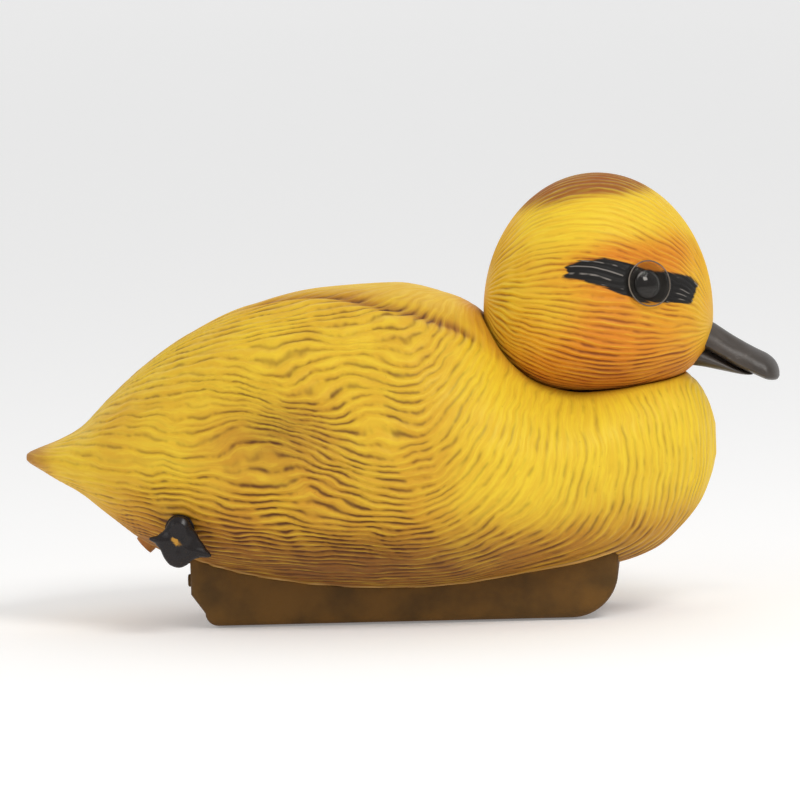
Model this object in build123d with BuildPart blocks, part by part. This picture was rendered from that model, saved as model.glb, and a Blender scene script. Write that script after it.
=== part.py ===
from build123d import *
import math
import os

os.makedirs("parts", exist_ok=True)

# Floating duck decoy, in millimetres. +X is the bill end, +Y the duck's left side, +Z up.
# The origin is on the flat keel bottom, at the middle of the overall length and width.

# ---- hull: overall sizes ----
tail_tip_x = -100.0
hull_length = 182.8
hull_width = 92.0
hull_height = 81.8
belly_z = 6.2
hull_wall = 2.2

# ---- head and swivel neck ----
neck_back_from_breast = 30.2
head_diameter = 60.6
head_top_z = 115.7
head_widest_z = 79.0
head_round_bottom_z = 57.5
head_wall = 2.2
head_flat_z = 59.6
head_floor = 2.2
dish_gap = 0.4
spigot_diameter = 16.0
spigot_bore = 9.0
spigot_flange_diameter = 25.0
spigot_flange_thickness = 2.0
swivel_half_range = 75.0
swivel_clearance = 0.06
socket_wall = 2.0
socket_length = 9.0
socket_flange_diameter = 29.0
socket_flange_thickness = 1.4
stop_lug_diameter = 2.4
stop_lug_height = 2.0
stop_groove_depth = 1.3
stop_lug_inset = 0.2
stop_side_clearance = 0.2
washer_margin = 0.5
ring_thickness = 1.2
ring_wire = 2.2
ring_opening = 70.0
seal_cord = 2.2
seal_room = 0.3

# ---- bill ----
bill_root_inset = 5.5
bill_length = 22.6
bill_base_half_width = 6.5
bill_waist_half_width = 6.1
bill_tip_half_width = 7.3
bill_tip_round = 0.8
bill_gap = 1.1
lip_slope = 0.615
lip_run = 7.3
# Points of the bill's side view: distance ahead of the head's front, then below its widest line.
bridge_place = (0.0, 3.5)
nail_place = (15.5, 13.6)
end_place = (17.1, 16.6)
lip_place = (15.1, 19.3)
gape_place = (-1.5, 10.6)
lower_tip_place = (12.2, 18.7)
chin_place = (0.7, 15.8)
top_root_place = (-bill_root_inset, 0.4)
chin_root_place = (-bill_root_inset, 14.4)

# ---- eyes ----
eye_lens_diameter = 12.0
eye_pupil_diameter = 7.4
eye_height_above_widest = 9.1
eye_forward_angle = 28.0
eye_tilt_angle = 12.0
eye_lens_edge = 1.6
eye_lens_dome = 1.5
eye_seated_share = 0.6
eye_boss_bond = 0.8
eye_pupil_thickness = 0.8
eye_stem_diameter = 3.6
eye_stem_length = 7.0
eye_washer_diameter = 9.0
eye_washer_thickness = 1.2

# ---- keel ----
keel_length = 112.6
keel_rear_from_tail = 43.8
keel_width = 40.0
keel_wall = 2.4
keel_floor = 2.0
keel_corner = 3.0
keel_rear_chamfer = 3.4
keel_rear_rise = 10.2
keel_nose = 12.0
keel_nose_radius = 13.2
weight_length = 82.0
weight_width = 30.0
weight_thickness = 3.0

# ---- line peg on the keel's rear ----
peg_height = 10.1
peg_stem_diameter = 1.8
peg_head_diameter = 3.4
peg_head_thickness = 1.0
peg_neck = 1.0
peg_tail = 4.0
peg_edge_radius = 0.45

# ---- feet ----
leg_from_tail = 42.6
leg_height = 27.8
leg_diameter = 7.6
leg_inner_reach = 9.0
foot_thickness = 2.4
foot_gap = 0.35
foot_hull_clearance = 1.0
ankle_radius = 4.4
foot_pin_diameter = 2.6
foot_pin_clearance = 0.05
foot_pin_head_diameter = 4.2
foot_pin_head_thickness = 1.2
foot_pin_depth = 6.0
toe_lengths = (8.4, 9.4, 10.4)
toe_angles = (190.0, 258.0, 322.0)
toe_tip_radius = 1.3
web_reach = 0.46

# ---- drain plug ----
plug_from_tail = 31.2
plug_height = 20.6
plug_slope = 48.0
plug_head_diameter = 5.4
plug_stem_diameter = 3.2
plug_stem_length = 6.0
plug_clearance = 0.05
plug_seat_depth = 0.9
plug_head_rise = 1.2

# ---- values that follow ----
breast_x = tail_tip_x + hull_length
neck_x = breast_x - neck_back_from_breast
head_radius = head_diameter / 2
head_lower = head_widest_z - head_round_bottom_z
head_upper = head_top_z - head_widest_z
keel_rear_x = tail_tip_x + keel_rear_from_tail
keel_front_x = keel_rear_x + keel_length
keel_middle_x = (keel_rear_x + keel_front_x - keel_nose / 2) / 2

# Fullness of the curves: a quarter ellipse, the hull's bilge and the head's underside.
ELLIPSE = 0.5523
BILGE = 0.66
BILGE_POWER = 2.3
HEAD_BOTTOM = 0.68

# Hull outline stations: place along the hull as a share of its length from the tail tip, then the
# top, the bottom and the widest line as shares of its height, and the half width as a share of
# half its width. The last value is the crown's fullness.
stations = (
    (0.000, 0.476, 0.449, 0.05, 0.463, ELLIPSE),
    (0.016, 0.491, 0.428, 0.15, 0.462, ELLIPSE),
    (0.044, 0.514, 0.389, 0.27, 0.460, ELLIPSE),
    (0.077, 0.552, 0.347, 0.39, 0.458, ELLIPSE),
    (0.120, 0.645, 0.270, 0.53, 0.452, ELLIPSE),
    (0.172, 0.748, 0.181, 0.67, 0.448, ELLIPSE),
    (0.241, 0.852, 0.103, 0.81, 0.443, ELLIPSE),
    (0.328, 0.938, 0.049, 0.92, 0.438, ELLIPSE),
    (0.438, 0.990, 0.013, 0.985, 0.433, ELLIPSE),
    (0.540, 1.000, 0.000, 1.00, 0.432, ELLIPSE),
    (0.624, 0.955, 0.007, 0.99, 0.432, 0.50),
    (0.665, 0.895, 0.019, 0.975, 0.432, 0.46),
    (0.705, 0.785, 0.030, 0.945, 0.433, 0.46),
    (0.750, 0.700, 0.044, 0.90, 0.435, 0.50),
    (0.804, 0.668, 0.058, 0.83, 0.440, 0.56),
    (0.859, 0.688, 0.080, 0.74, 0.446, 0.60),
    (0.908, 0.708, 0.119, 0.62, 0.454, 0.62),
    (0.946, 0.700, 0.188, 0.49, 0.462, 0.60),
    (0.976, 0.654, 0.270, 0.345, 0.466, ELLIPSE),
    (0.993, 0.578, 0.358, 0.195, 0.468, ELLIPSE),
    (1.000, 0.515, 0.421, 0.09, 0.468, ELLIPSE),
)

# Ends of the hollow, and the steps that its sections are taken at, as shares of the hull's length.
cavity_start = 0.077
cavity_end = 0.972
slope_step = 0.004
widest_step = 0.045


def section_places(start, end):
    """Shares of the hull's length at its stations, with one more in the middle of each wide gap."""
    places = [start] + [station[0] for station in stations if start < station[0] < end] + [end]
    middles = [(a + b) / 2 for a, b in zip(places, places[1:]) if b - a > widest_step]
    return sorted(places + middles)


def height_of(share):
    """Height of a share of the hull's height."""
    return belly_z + share * hull_height


def smooth_value(column, along):
    """Value of a column at a place along the hull, on a smooth curve through the stations."""
    after = next((k for k, station in enumerate(stations) if station[0] >= along), len(stations) - 1)
    after = max(after, 1)
    before = after - 1

    def chord(k):
        return (stations[k + 1][column] - stations[k][column]) / (stations[k + 1][0] - stations[k][0])

    def slope(k):
        if k == 0:
            return chord(0)
        if k == len(stations) - 1:
            return chord(k - 1)
        product = chord(k - 1) * chord(k)
        return 2 * product / (chord(k - 1) + chord(k)) if product > 0 else 0.0

    run = stations[after][0] - stations[before][0]
    t = (along - stations[before][0]) / run
    return (
        stations[before][column] * (1 + 2 * t) * (1 - t) ** 2
        + slope(before) * run * t * (1 - t) ** 2
        + stations[after][column] * (3 - 2 * t) * t**2
        - slope(after) * run * (1 - t) * t**2
    )


def hull_sizes(along):
    """Place, top, bottom, half width, widest height and crown at a share of the hull's length."""
    top, bottom, half, widest, crown = (smooth_value(column, along) for column in range(1, 6))
    return (
        tail_tip_x + along * hull_length,
        height_of(top),
        height_of(bottom),
        half * hull_width / 2,
        height_of(widest),
        crown,
    )


def inset_sizes(along, inset):
    """Sizes of a place along the hull drawn in by a wall, allowing for each outline's slope."""
    before = hull_sizes(along - slope_step)
    here = hull_sizes(along)
    after = hull_sizes(along + slope_step)
    run = after[0] - before[0]
    walls = [inset * math.hypot(1, (after[k] - before[k]) / run) for k in (1, 2, 3)]
    return here[0], here[1] - walls[0], here[2] + walls[1], here[3] - walls[2], here[4], here[5]


def hull_section(sizes):
    """Closed outline across the hull, four curves joined at the crown, the sides and the belly."""
    x, top, bottom, half, widest, crown = sizes
    rise = top - widest
    drop = widest - bottom
    with BuildSketch(Plane((x, 0, 0), x_dir=(0, 1, 0), z_dir=(1, 0, 0))) as section:
        with BuildLine():
            Bezier((0, bottom), (half * BILGE, bottom), (half, widest - drop * ELLIPSE), (half, widest))
            Bezier((half, widest), (half, widest + rise * ELLIPSE), (half * crown, top), (0, top))
            Bezier((0, top), (-half * crown, top), (-half, widest + rise * ELLIPSE), (-half, widest))
            Bezier((-half, widest), (-half, widest - drop * ELLIPSE), (-half * BILGE, bottom), (0, bottom))
        make_face()
    return section.sketch


def hull_half_width(x, z):
    """Half width of the hull below its widest line, at a place along it and a height."""
    bottom, half, widest = hull_sizes((x - tail_tip_x) / hull_length)[2:5]
    depth = (widest - z) / (widest - bottom)
    return half * (1 - depth**BILGE_POWER) ** (1 / BILGE_POWER)


def neck_profile(inset):
    """Half outline of the round head about the swivel axis, drawn in by a wall."""
    radius = head_radius - inset
    lower = head_lower - inset
    upper = head_upper - inset
    plane = Plane((neck_x, 0, head_widest_z), x_dir=(1, 0, 0), z_dir=(0, -1, 0))
    with BuildSketch(plane) as profile:
        with BuildLine():
            Bezier(
                (0, -lower),
                (radius * HEAD_BOTTOM, -lower),
                (radius, -lower * HEAD_BOTTOM),
                (radius, 0),
            )
            Bezier((radius, 0), (radius, upper * ELLIPSE), (radius * ELLIPSE, upper), (0, upper))
            Line((0, upper), (0, -lower))
        make_face()
    return profile.sketch


neck_axis = Axis((neck_x, 0, 0), (0, 0, 1))

# ---- solids that several pieces are cut with ----
with BuildPart() as hull_outer:
    loft(sections=[hull_section(hull_sizes(along)) for along in section_places(0, 1)])

dish_floor_z = head_round_bottom_z - dish_gap
seal_radius = socket_flange_diameter / 2 + seal_cord / 2
recess_radius = seal_radius + seal_cord / 2 + seal_room

with BuildPart() as dish:
    add(neck_profile(-dish_gap))
    revolve(axis=neck_axis)
    with Locations((neck_x, 0, dish_floor_z)):
        Cylinder(recess_radius, head_lower / 2, align=(Align.CENTER, Align.CENTER, Align.MIN))

with BuildPart() as dish_with_wall:
    add(neck_profile(-dish_gap - hull_wall))
    revolve(axis=neck_axis)
    with Locations((neck_x, 0, dish_floor_z - hull_wall)):
        Cylinder(
            recess_radius + hull_wall, head_lower / 2, align=(Align.CENTER, Align.CENTER, Align.MIN)
        )

with BuildPart() as hull_cavity:
    loft(
        sections=[
            hull_section(inset_sizes(along, hull_wall))
            for along in section_places(cavity_start, cavity_end)
        ]
    )
    add(dish_with_wall.part, mode=Mode.SUBTRACT)

# ---- heights of the swivel neck, from the dish upwards and downwards ----
socket_outer_radius = spigot_diameter / 2 + swivel_clearance + socket_wall
socket_bottom_z = dish_floor_z - socket_length
ring_top_z = socket_bottom_z - swivel_clearance
ring_bottom_z = ring_top_z - ring_thickness
spigot_bottom_z = ring_bottom_z - ring_wire
socket_top_z = dish_floor_z + socket_flange_thickness
washer_radius_in = spigot_diameter / 2 + swivel_clearance
stop_radius = socket_flange_diameter / 2 - stop_lug_diameter / 2 - stop_lug_inset
washer_radius_out = stop_radius - stop_lug_diameter / 2 - washer_margin

# ---- legs, feet and plug places ----
leg_x = tail_tip_x + leg_from_tail
foot_inner_y = hull_half_width(leg_x, leg_height + ankle_radius) + foot_hull_clearance
foot_outer_y = foot_inner_y + foot_thickness
leg_end_y = foot_inner_y - foot_gap
plug_x = tail_tip_x + plug_from_tail
plug_direction = (-math.sin(math.radians(plug_slope)), 0, -math.cos(math.radians(plug_slope)))
plug_plane = Plane((plug_x, 0, plug_height), x_dir=(0, 1, 0), z_dir=plug_direction)

# ---- hull ----
with BuildPart() as body_shell:
    add(hull_outer.part)
    add(hull_cavity.part, mode=Mode.SUBTRACT)
    add(dish.part, mode=Mode.SUBTRACT)
    with Locations((neck_x, 0, dish_floor_z - hull_wall)):
        Cylinder(socket_outer_radius, 3 * hull_wall, mode=Mode.SUBTRACT)
    for side in (-1, 1):
        with BuildSketch(Plane((leg_x, side * leg_end_y, leg_height), z_dir=(0, -side, 0))):
            Circle(leg_diameter / 2)
        extrude(amount=leg_inner_reach, mode=Mode.SUBTRACT)
    with BuildSketch(plug_plane.offset(-plug_seat_depth)):
        Circle(plug_head_diameter / 2 + plug_clearance)
    extrude(amount=plug_head_diameter, mode=Mode.SUBTRACT)
    with BuildSketch(plug_plane):
        Circle(plug_stem_diameter / 2 + plug_clearance)
    extrude(amount=-plug_stem_length, mode=Mode.SUBTRACT)
body_shell.part.label = "body_shell"

# ---- keel ----
with BuildPart() as keel_shell:
    with BuildSketch(Plane.XZ.offset(-keel_width / 2)):
        with BuildLine():
            Polyline(
                (keel_front_x, keel_nose),
                (keel_front_x, hull_height / 2),
                (keel_rear_x, hull_height / 2),
                (keel_rear_x, keel_rear_rise),
                (keel_rear_x + keel_rear_chamfer, keel_rear_chamfer),
                (keel_rear_x + keel_rear_rise, 0),
                (keel_front_x - keel_nose, 0),
            )
            RadiusArc((keel_front_x - keel_nose, 0), (keel_front_x, keel_nose), -keel_nose_radius)
        make_face()
    extrude(amount=keel_width)
    fillet(keel_shell.edges().filter_by(Axis.Z), radius=keel_corner)
    with BuildSketch(Plane.XY.offset(keel_floor)):
        with Locations((keel_middle_x, 0)):
            RectangleRounded(
                keel_length - keel_nose - keel_rear_rise,
                keel_width - 2 * keel_wall,
                keel_corner,
            )
    extrude(amount=hull_height, mode=Mode.SUBTRACT)
    with BuildSketch(Plane.YZ.offset(keel_rear_x)):
        with Locations((0, peg_height)):
            Circle(peg_stem_diameter / 2)
    extrude(amount=peg_tail, mode=Mode.SUBTRACT)
    add(hull_outer.part, mode=Mode.SUBTRACT)
keel_shell.part.label = "keel_shell"

with BuildPart() as keel_weight:
    with BuildSketch(Plane.XY.offset(keel_floor)):
        with Locations((keel_middle_x, 0)):
            RectangleRounded(weight_length, weight_width, keel_corner)
    extrude(amount=weight_thickness)
keel_weight.part.label = "keel_weight"

with BuildPart() as line_peg:
    with BuildSketch(Plane.YZ.offset(keel_rear_x + peg_tail)):
        with Locations((0, peg_height)):
            Circle(peg_stem_diameter / 2)
    extrude(amount=-peg_tail - peg_neck)
    with BuildSketch(Plane.YZ.offset(keel_rear_x - peg_neck)):
        with Locations((0, peg_height)):
            Circle(peg_head_diameter / 2)
    extrude(amount=-peg_head_thickness)
    fillet(line_peg.edges().group_by(Axis.X)[0], radius=peg_edge_radius)
line_peg.part.label = "line_peg"

# ---- neck: socket, washer, seal and spigot ----
with BuildPart() as neck_socket:
    with Locations((neck_x, 0, dish_floor_z)):
        Cylinder(
            socket_outer_radius, socket_length, align=(Align.CENTER, Align.CENTER, Align.MAX)
        )
        Cylinder(
            socket_flange_diameter / 2,
            socket_flange_thickness,
            align=(Align.CENTER, Align.CENTER, Align.MIN),
        )
    with Locations((neck_x, 0, socket_bottom_z)):
        Cylinder(
            spigot_diameter / 2 + swivel_clearance,
            socket_length + socket_flange_thickness,
            align=(Align.CENTER, Align.CENTER, Align.MIN),
            mode=Mode.SUBTRACT,
        )
    with Locations((neck_x - stop_radius, 0, socket_top_z)):
        Cylinder(
            stop_lug_diameter / 2,
            stop_lug_height,
            align=(Align.CENTER, Align.CENTER, Align.MIN),
        )
neck_socket.part.label = "neck_socket"

washer_top_z = head_flat_z - swivel_clearance
with BuildPart() as neck_washer:
    with BuildSketch(Plane.XY.offset(socket_top_z)):
        with Locations((neck_x, 0)):
            Circle(washer_radius_out)
            Circle(washer_radius_in, mode=Mode.SUBTRACT)
    extrude(amount=washer_top_z - socket_top_z)
neck_washer.part.label = "neck_washer"

with BuildPart() as neck_seal:
    with BuildSketch(Plane((neck_x + seal_radius, 0, dish_floor_z + seal_cord / 2), z_dir=(0, 1, 0))):
        Circle(seal_cord / 2)
    revolve(axis=neck_axis)
neck_seal.part.label = "neck_seal"

head_floor_top_z = head_flat_z + head_floor
with BuildPart() as neck_spigot:
    with Locations((neck_x, 0, spigot_bottom_z)):
        Cylinder(
            spigot_diameter / 2,
            head_floor_top_z - spigot_bottom_z,
            align=(Align.CENTER, Align.CENTER, Align.MIN),
        )
    with Locations((neck_x, 0, head_floor_top_z)):
        Cylinder(
            spigot_flange_diameter / 2,
            spigot_flange_thickness,
            align=(Align.CENTER, Align.CENTER, Align.MIN),
        )
        Cylinder(
            spigot_bore / 2,
            2 * (head_floor_top_z - socket_bottom_z),
            mode=Mode.SUBTRACT,
        )
    with BuildSketch(Plane.XY.offset(ring_bottom_z)):
        with Locations((neck_x, 0)):
            Circle(spigot_diameter)
            Circle(spigot_diameter / 2 - ring_wire / 2, mode=Mode.SUBTRACT)
    extrude(amount=ring_thickness, mode=Mode.SUBTRACT)
neck_spigot.part.label = "neck_spigot"

with BuildPart() as neck_snap_ring:
    with BuildSketch(Plane.XY.offset(ring_bottom_z)):
        with Locations((neck_x, 0)):
            Circle(spigot_diameter / 2 + ring_wire / 2)
            Circle(spigot_diameter / 2 - ring_wire / 2, mode=Mode.SUBTRACT)
        half_opening = math.radians(ring_opening / 2)
        with BuildLine():
            Polyline(
                (neck_x, 0),
                (neck_x + spigot_diameter, spigot_diameter * math.tan(half_opening)),
                (neck_x + spigot_diameter, -spigot_diameter * math.tan(half_opening)),
                close=True,
            )
        make_face(mode=Mode.SUBTRACT)
    extrude(amount=ring_thickness)
neck_snap_ring.part.label = "neck_snap_ring"

# ---- bill ----
bill_root_x = neck_x + head_radius - bill_root_inset
bill_tip_x = bill_root_x + bill_length


def bill_point(place):
    """Point in the bill's side view at a distance ahead of and below the head's front."""
    return (neck_x + head_radius + place[0], head_widest_z - place[1])


bridge = bill_point(bridge_place)
bill_top_root = bill_point(top_root_place)
bill_nail = bill_point(nail_place)
bill_end = bill_point(end_place)
bill_lip = bill_point(lip_place)
lip_start = bill_point(gape_place)
lip_root = (bill_root_x, lip_start[1] + lip_slope * (lip_start[0] - bill_root_x))
lip_meet = (lip_start[0] + lip_run, lip_start[1] - lip_slope * lip_run)
lower_tip = bill_point(lower_tip_place)
chin = bill_point(chin_place)
chin_root = bill_point(chin_root_place)


def bill_outline():
    """Plan of the bill, a spoon that is narrower behind its rounded end."""
    with BuildSketch() as plan:
        with BuildLine():
            for side in (-1, 1):
                Spline(
                    (bill_root_x, side * bill_base_half_width),
                    (bill_root_x + bill_length / 2, side * bill_waist_half_width),
                    (bill_tip_x - bill_tip_half_width * bill_tip_round, side * bill_tip_half_width),
                    (bill_tip_x, 0),
                    tangents=((1, 0), (0, -side)),
                )
            Line((bill_root_x, bill_base_half_width), (bill_root_x, -bill_base_half_width))
        make_face()
    return plan.sketch


with BuildPart() as bill_upper:
    with BuildSketch(Plane.XZ.offset(-bill_tip_half_width)):
        with BuildLine():
            Polyline(lip_root, bill_top_root, bridge, bill_nail)
            ThreePointArc(bill_nail, bill_end, bill_lip)
            Polyline(bill_lip, lip_meet, lip_root)
        make_face()
    extrude(amount=2 * bill_tip_half_width)
    with BuildSketch():
        add(bill_outline())
    extrude(amount=head_top_z, mode=Mode.INTERSECT)
bill_upper.part.label = "bill_upper"

with BuildPart() as bill_lower:
    with BuildSketch(Plane.XZ.offset(-bill_tip_half_width)):
        with BuildLine():
            Polyline(
                lip_root,
                lip_start,
                (lip_start[0], lip_start[1] - bill_gap),
                lip_meet,
                lower_tip,
                chin,
                chin_root,
                close=True,
            )
        make_face()
    extrude(amount=2 * bill_tip_half_width)
    with BuildSketch():
        add(bill_outline())
    extrude(amount=head_top_z, mode=Mode.INTERSECT)
bill_lower.part.label = "bill_lower"

# ---- eyes ----
eye_reach = head_radius * math.sqrt(1 - (eye_height_above_widest / head_upper) ** 2)


def eye_plane(side):
    """Plane on the head's surface at an eye, facing outwards."""
    turn = math.radians(90 - eye_forward_angle)
    tilt = math.radians(eye_tilt_angle)
    outward = (math.cos(turn), side * math.sin(turn))
    return Plane(
        (
            neck_x + outward[0] * eye_reach,
            outward[1] * eye_reach,
            head_widest_z + eye_height_above_widest,
        ),
        x_dir=(-outward[1], outward[0], 0),
        z_dir=(outward[0] * math.cos(tilt), outward[1] * math.cos(tilt), math.sin(tilt)),
    )


eye_seat = eye_lens_edge * eye_seated_share
eye_boss = 2 * head_wall

# ---- head ----
with BuildPart() as head_cavity:
    add(neck_profile(head_wall))
    revolve(axis=neck_axis)
    split(bisect_by=Plane.XY.offset(head_floor_top_z), keep=Keep.TOP)

with BuildPart() as head_shell:
    add(neck_profile(0))
    revolve(axis=neck_axis)
    split(bisect_by=Plane.XY.offset(head_flat_z), keep=Keep.TOP)
    add(head_cavity.part, mode=Mode.SUBTRACT)
    for side in (-1, 1):
        with BuildSketch(eye_plane(side).offset(-eye_boss)):
            Circle(eye_lens_diameter / 2 + head_wall)
        extrude(amount=eye_boss - head_wall * eye_boss_bond)
        with BuildSketch(eye_plane(side).offset(-eye_seat)):
            Circle(eye_lens_diameter / 2)
        extrude(amount=eye_lens_diameter, mode=Mode.SUBTRACT)
        with BuildSketch(eye_plane(side)):
            Circle(eye_stem_diameter / 2)
        extrude(amount=-3 * eye_boss, mode=Mode.SUBTRACT)
    with Locations((neck_x, 0, head_flat_z)):
        Cylinder(spigot_diameter / 2, 3 * head_floor, mode=Mode.SUBTRACT)
    with BuildSketch(Plane.XY.offset(head_flat_z)):
        with Locations((neck_x, 0)):
            SlotArc(
                CenterArc((0, 0), stop_radius, 180 - swivel_half_range, 2 * swivel_half_range),
                stop_lug_diameter + 2 * stop_side_clearance,
            )
    extrude(amount=stop_groove_depth, mode=Mode.SUBTRACT)
    add(bill_upper.part, mode=Mode.SUBTRACT)
    add(bill_lower.part, mode=Mode.SUBTRACT)
head_shell.part.label = "head_shell"

# ---- eyes, legs and feet, which come in pairs ----
pairs = []
for side, name in ((-1, "right"), (1, "left")):
    with BuildPart() as eye_lens:
        with BuildSketch(eye_plane(side).offset(-eye_seat)):
            Circle(eye_lens_diameter / 2)
        extrude(amount=eye_lens_edge)
        dome_radius = ((eye_lens_diameter / 2) ** 2 + eye_lens_dome**2) / (2 * eye_lens_dome)
        crown_plane = eye_plane(side).offset(eye_lens_edge - eye_seat)
        with BuildSketch(Plane(crown_plane.origin, x_dir=crown_plane.x_dir, z_dir=crown_plane.y_dir)):
            with BuildLine():
                ThreePointArc(
                    (0, -eye_lens_dome),
                    (
                        eye_lens_diameter / 4,
                        dome_radius - eye_lens_dome
                        - math.sqrt(dome_radius**2 - (eye_lens_diameter / 4) ** 2),
                    ),
                    (eye_lens_diameter / 2, 0),
                )
                Polyline((eye_lens_diameter / 2, 0), (0, 0), (0, -eye_lens_dome))
            make_face()
        revolve(axis=Axis(crown_plane.origin, crown_plane.z_dir))
        with BuildSketch(eye_plane(side).offset(-eye_seat)):
            Circle(eye_pupil_diameter / 2)
        extrude(amount=eye_pupil_thickness, mode=Mode.SUBTRACT)
    eye_lens.part.label = f"eye_lens_{name}"
    pairs.append(eye_lens.part)

    with BuildPart() as eye_pupil:
        with BuildSketch(eye_plane(side).offset(-eye_seat)):
            Circle(eye_pupil_diameter / 2)
        extrude(amount=eye_pupil_thickness)
        with BuildSketch(eye_plane(side).offset(-eye_seat)):
            Circle(eye_stem_diameter / 2)
        extrude(amount=-eye_stem_length)
    eye_pupil.part.label = f"eye_pupil_{name}"
    pairs.append(eye_pupil.part)

    with BuildPart() as eye_washer:
        with BuildSketch(eye_plane(side).offset(-eye_boss)):
            Circle(eye_washer_diameter / 2)
            Circle(eye_stem_diameter / 2, mode=Mode.SUBTRACT)
        extrude(amount=-eye_washer_thickness)
    eye_washer.part.label = f"eye_washer_{name}"
    pairs.append(eye_washer.part)

    # The leg peg is glued into the hull and carries the pin that the foot swings on.
    outward = Plane((leg_x, 0, leg_height), x_dir=(1, 0, 0), z_dir=(0, side, 0))
    with BuildPart() as leg:
        with BuildSketch(outward.offset(leg_end_y - leg_inner_reach)):
            Circle(leg_diameter / 2)
        extrude(amount=leg_inner_reach)
        with BuildSketch(outward.offset(leg_end_y)):
            Circle(foot_pin_diameter / 2)
        extrude(amount=-foot_pin_depth, mode=Mode.SUBTRACT)
    leg.part.label = f"leg_{name}"
    pairs.append(leg.part)

    tips = [
        (length * math.cos(math.radians(angle)), -side * length * math.sin(math.radians(angle)))
        for length, angle in zip(toe_lengths, toe_angles)
    ]
    with BuildPart() as foot:
        with BuildSketch(outward.offset(foot_inner_y)) as sole:
            Circle(ankle_radius)
            with BuildLine():
                Line((0, 0), tips[0])
                for first, second in zip(tips, tips[1:]):
                    middle = (
                        (first[0] + second[0]) * web_reach,
                        (first[1] + second[1]) * web_reach,
                    )
                    ThreePointArc(first, middle, second)
                Line(tips[-1], (0, 0))
            make_face()
            with Locations(*tips):
                Circle(toe_tip_radius)
        extrude(amount=foot_thickness)
        with BuildSketch(outward.offset(foot_inner_y)):
            Circle(foot_pin_diameter / 2 + foot_pin_clearance)
        extrude(amount=foot_thickness, mode=Mode.SUBTRACT)
    foot.part.label = f"foot_{name}"
    pairs.append(foot.part)

    with BuildPart() as foot_pin:
        with BuildSketch(outward.offset(leg_end_y - foot_pin_depth)):
            Circle(foot_pin_diameter / 2)
        extrude(amount=foot_pin_depth + foot_outer_y + foot_gap - leg_end_y)
        with BuildSketch(outward.offset(foot_outer_y + foot_gap)):
            Circle(foot_pin_head_diameter / 2)
        extrude(amount=foot_pin_head_thickness)
    foot_pin.part.label = f"foot_pin_{name}"
    pairs.append(foot_pin.part)

# ---- drain plug ----
with BuildPart() as drain_plug:
    with BuildSketch(plug_plane.offset(-plug_seat_depth)):
        Circle(plug_head_diameter / 2)
    extrude(amount=plug_seat_depth + plug_head_rise)
    with BuildSketch(plug_plane.offset(-plug_seat_depth)):
        Circle(plug_stem_diameter / 2)
    extrude(amount=-plug_stem_length + plug_seat_depth)
drain_plug.part.label = "drain_plug"

pieces = [
    body_shell.part,
    keel_shell.part,
    keel_weight.part,
    line_peg.part,
    neck_socket.part,
    neck_washer.part,
    neck_seal.part,
    neck_spigot.part,
    neck_snap_ring.part,
    head_shell.part,
    bill_upper.part,
    bill_lower.part,
    drain_plug.part,
    *pairs,
]
for piece in pieces:
    export_step(piece, f"parts/{piece.label}.step")
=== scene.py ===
"""Looks of a floating duckling decoy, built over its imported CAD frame."""

import logging
import math
from dataclasses import dataclass
from enum import Enum
from typing import Callable, Iterable, Sequence

import bmesh
import bpy
import numpy as np
from mathutils import Matrix, Vector, noise


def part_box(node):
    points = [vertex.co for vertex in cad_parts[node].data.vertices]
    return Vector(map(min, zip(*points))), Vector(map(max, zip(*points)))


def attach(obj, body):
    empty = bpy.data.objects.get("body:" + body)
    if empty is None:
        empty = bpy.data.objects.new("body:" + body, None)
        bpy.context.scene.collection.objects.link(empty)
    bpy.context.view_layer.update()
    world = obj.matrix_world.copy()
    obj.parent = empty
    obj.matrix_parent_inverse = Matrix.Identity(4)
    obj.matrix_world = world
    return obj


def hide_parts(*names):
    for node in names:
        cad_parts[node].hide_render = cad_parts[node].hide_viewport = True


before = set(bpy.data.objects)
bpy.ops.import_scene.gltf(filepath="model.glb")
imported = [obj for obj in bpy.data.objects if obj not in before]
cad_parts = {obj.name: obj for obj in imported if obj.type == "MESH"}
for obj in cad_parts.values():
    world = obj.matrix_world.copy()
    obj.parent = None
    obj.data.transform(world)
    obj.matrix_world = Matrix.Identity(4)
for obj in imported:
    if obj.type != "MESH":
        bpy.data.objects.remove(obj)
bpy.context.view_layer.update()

MM = 0.001
LOG = logging.getLogger("duck_decoy")
Colour = tuple[float, float, float, float]
PITCHES = (1.0, 1.62, 2.6)
WELD = 1e-7
EYE_STEPS = 128
PUPIL_STEPS = 96
HEAD_WIDEST = 79.0 * MM
HEAD_BELOW_WIDEST = 21.5 * MM


class Ride(Enum):
    """The rigid bodies that pieces move with."""

    HULL = "hull"
    HEAD = "head"
    RIGHT_FOOT = "right_foot"
    LEFT_FOOT = "left_foot"
    PLUG = "plug"


class Side(Enum):
    """The duck's two sides, with the sign of Y on each."""

    RIGHT = -1
    LEFT = 1

    @property
    def word(self) -> str:
        """Name of the side as node names use it."""
        return self.name.lower()


# ---------------------------------------------------------------- numbers


def smooth_step(low: float, high: float, value: np.ndarray) -> np.ndarray:
    """Smooth rise from 0 at low to 1 at high (or a fall, when high is less than low)."""
    t = np.clip((value - low) / (high - low), 0.0, 1.0)
    return t * t * (3.0 - 2.0 * t)


def bell(value: np.ndarray, width: float) -> np.ndarray:
    """Bell curve that is 1 at zero and fades over a width."""
    return np.exp(-((value / width) ** 2))


def unit(vectors: np.ndarray) -> np.ndarray:
    """Vectors scaled to length one."""
    return vectors / np.maximum(np.linalg.norm(vectors, axis=1, keepdims=True), 1e-12)


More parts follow.
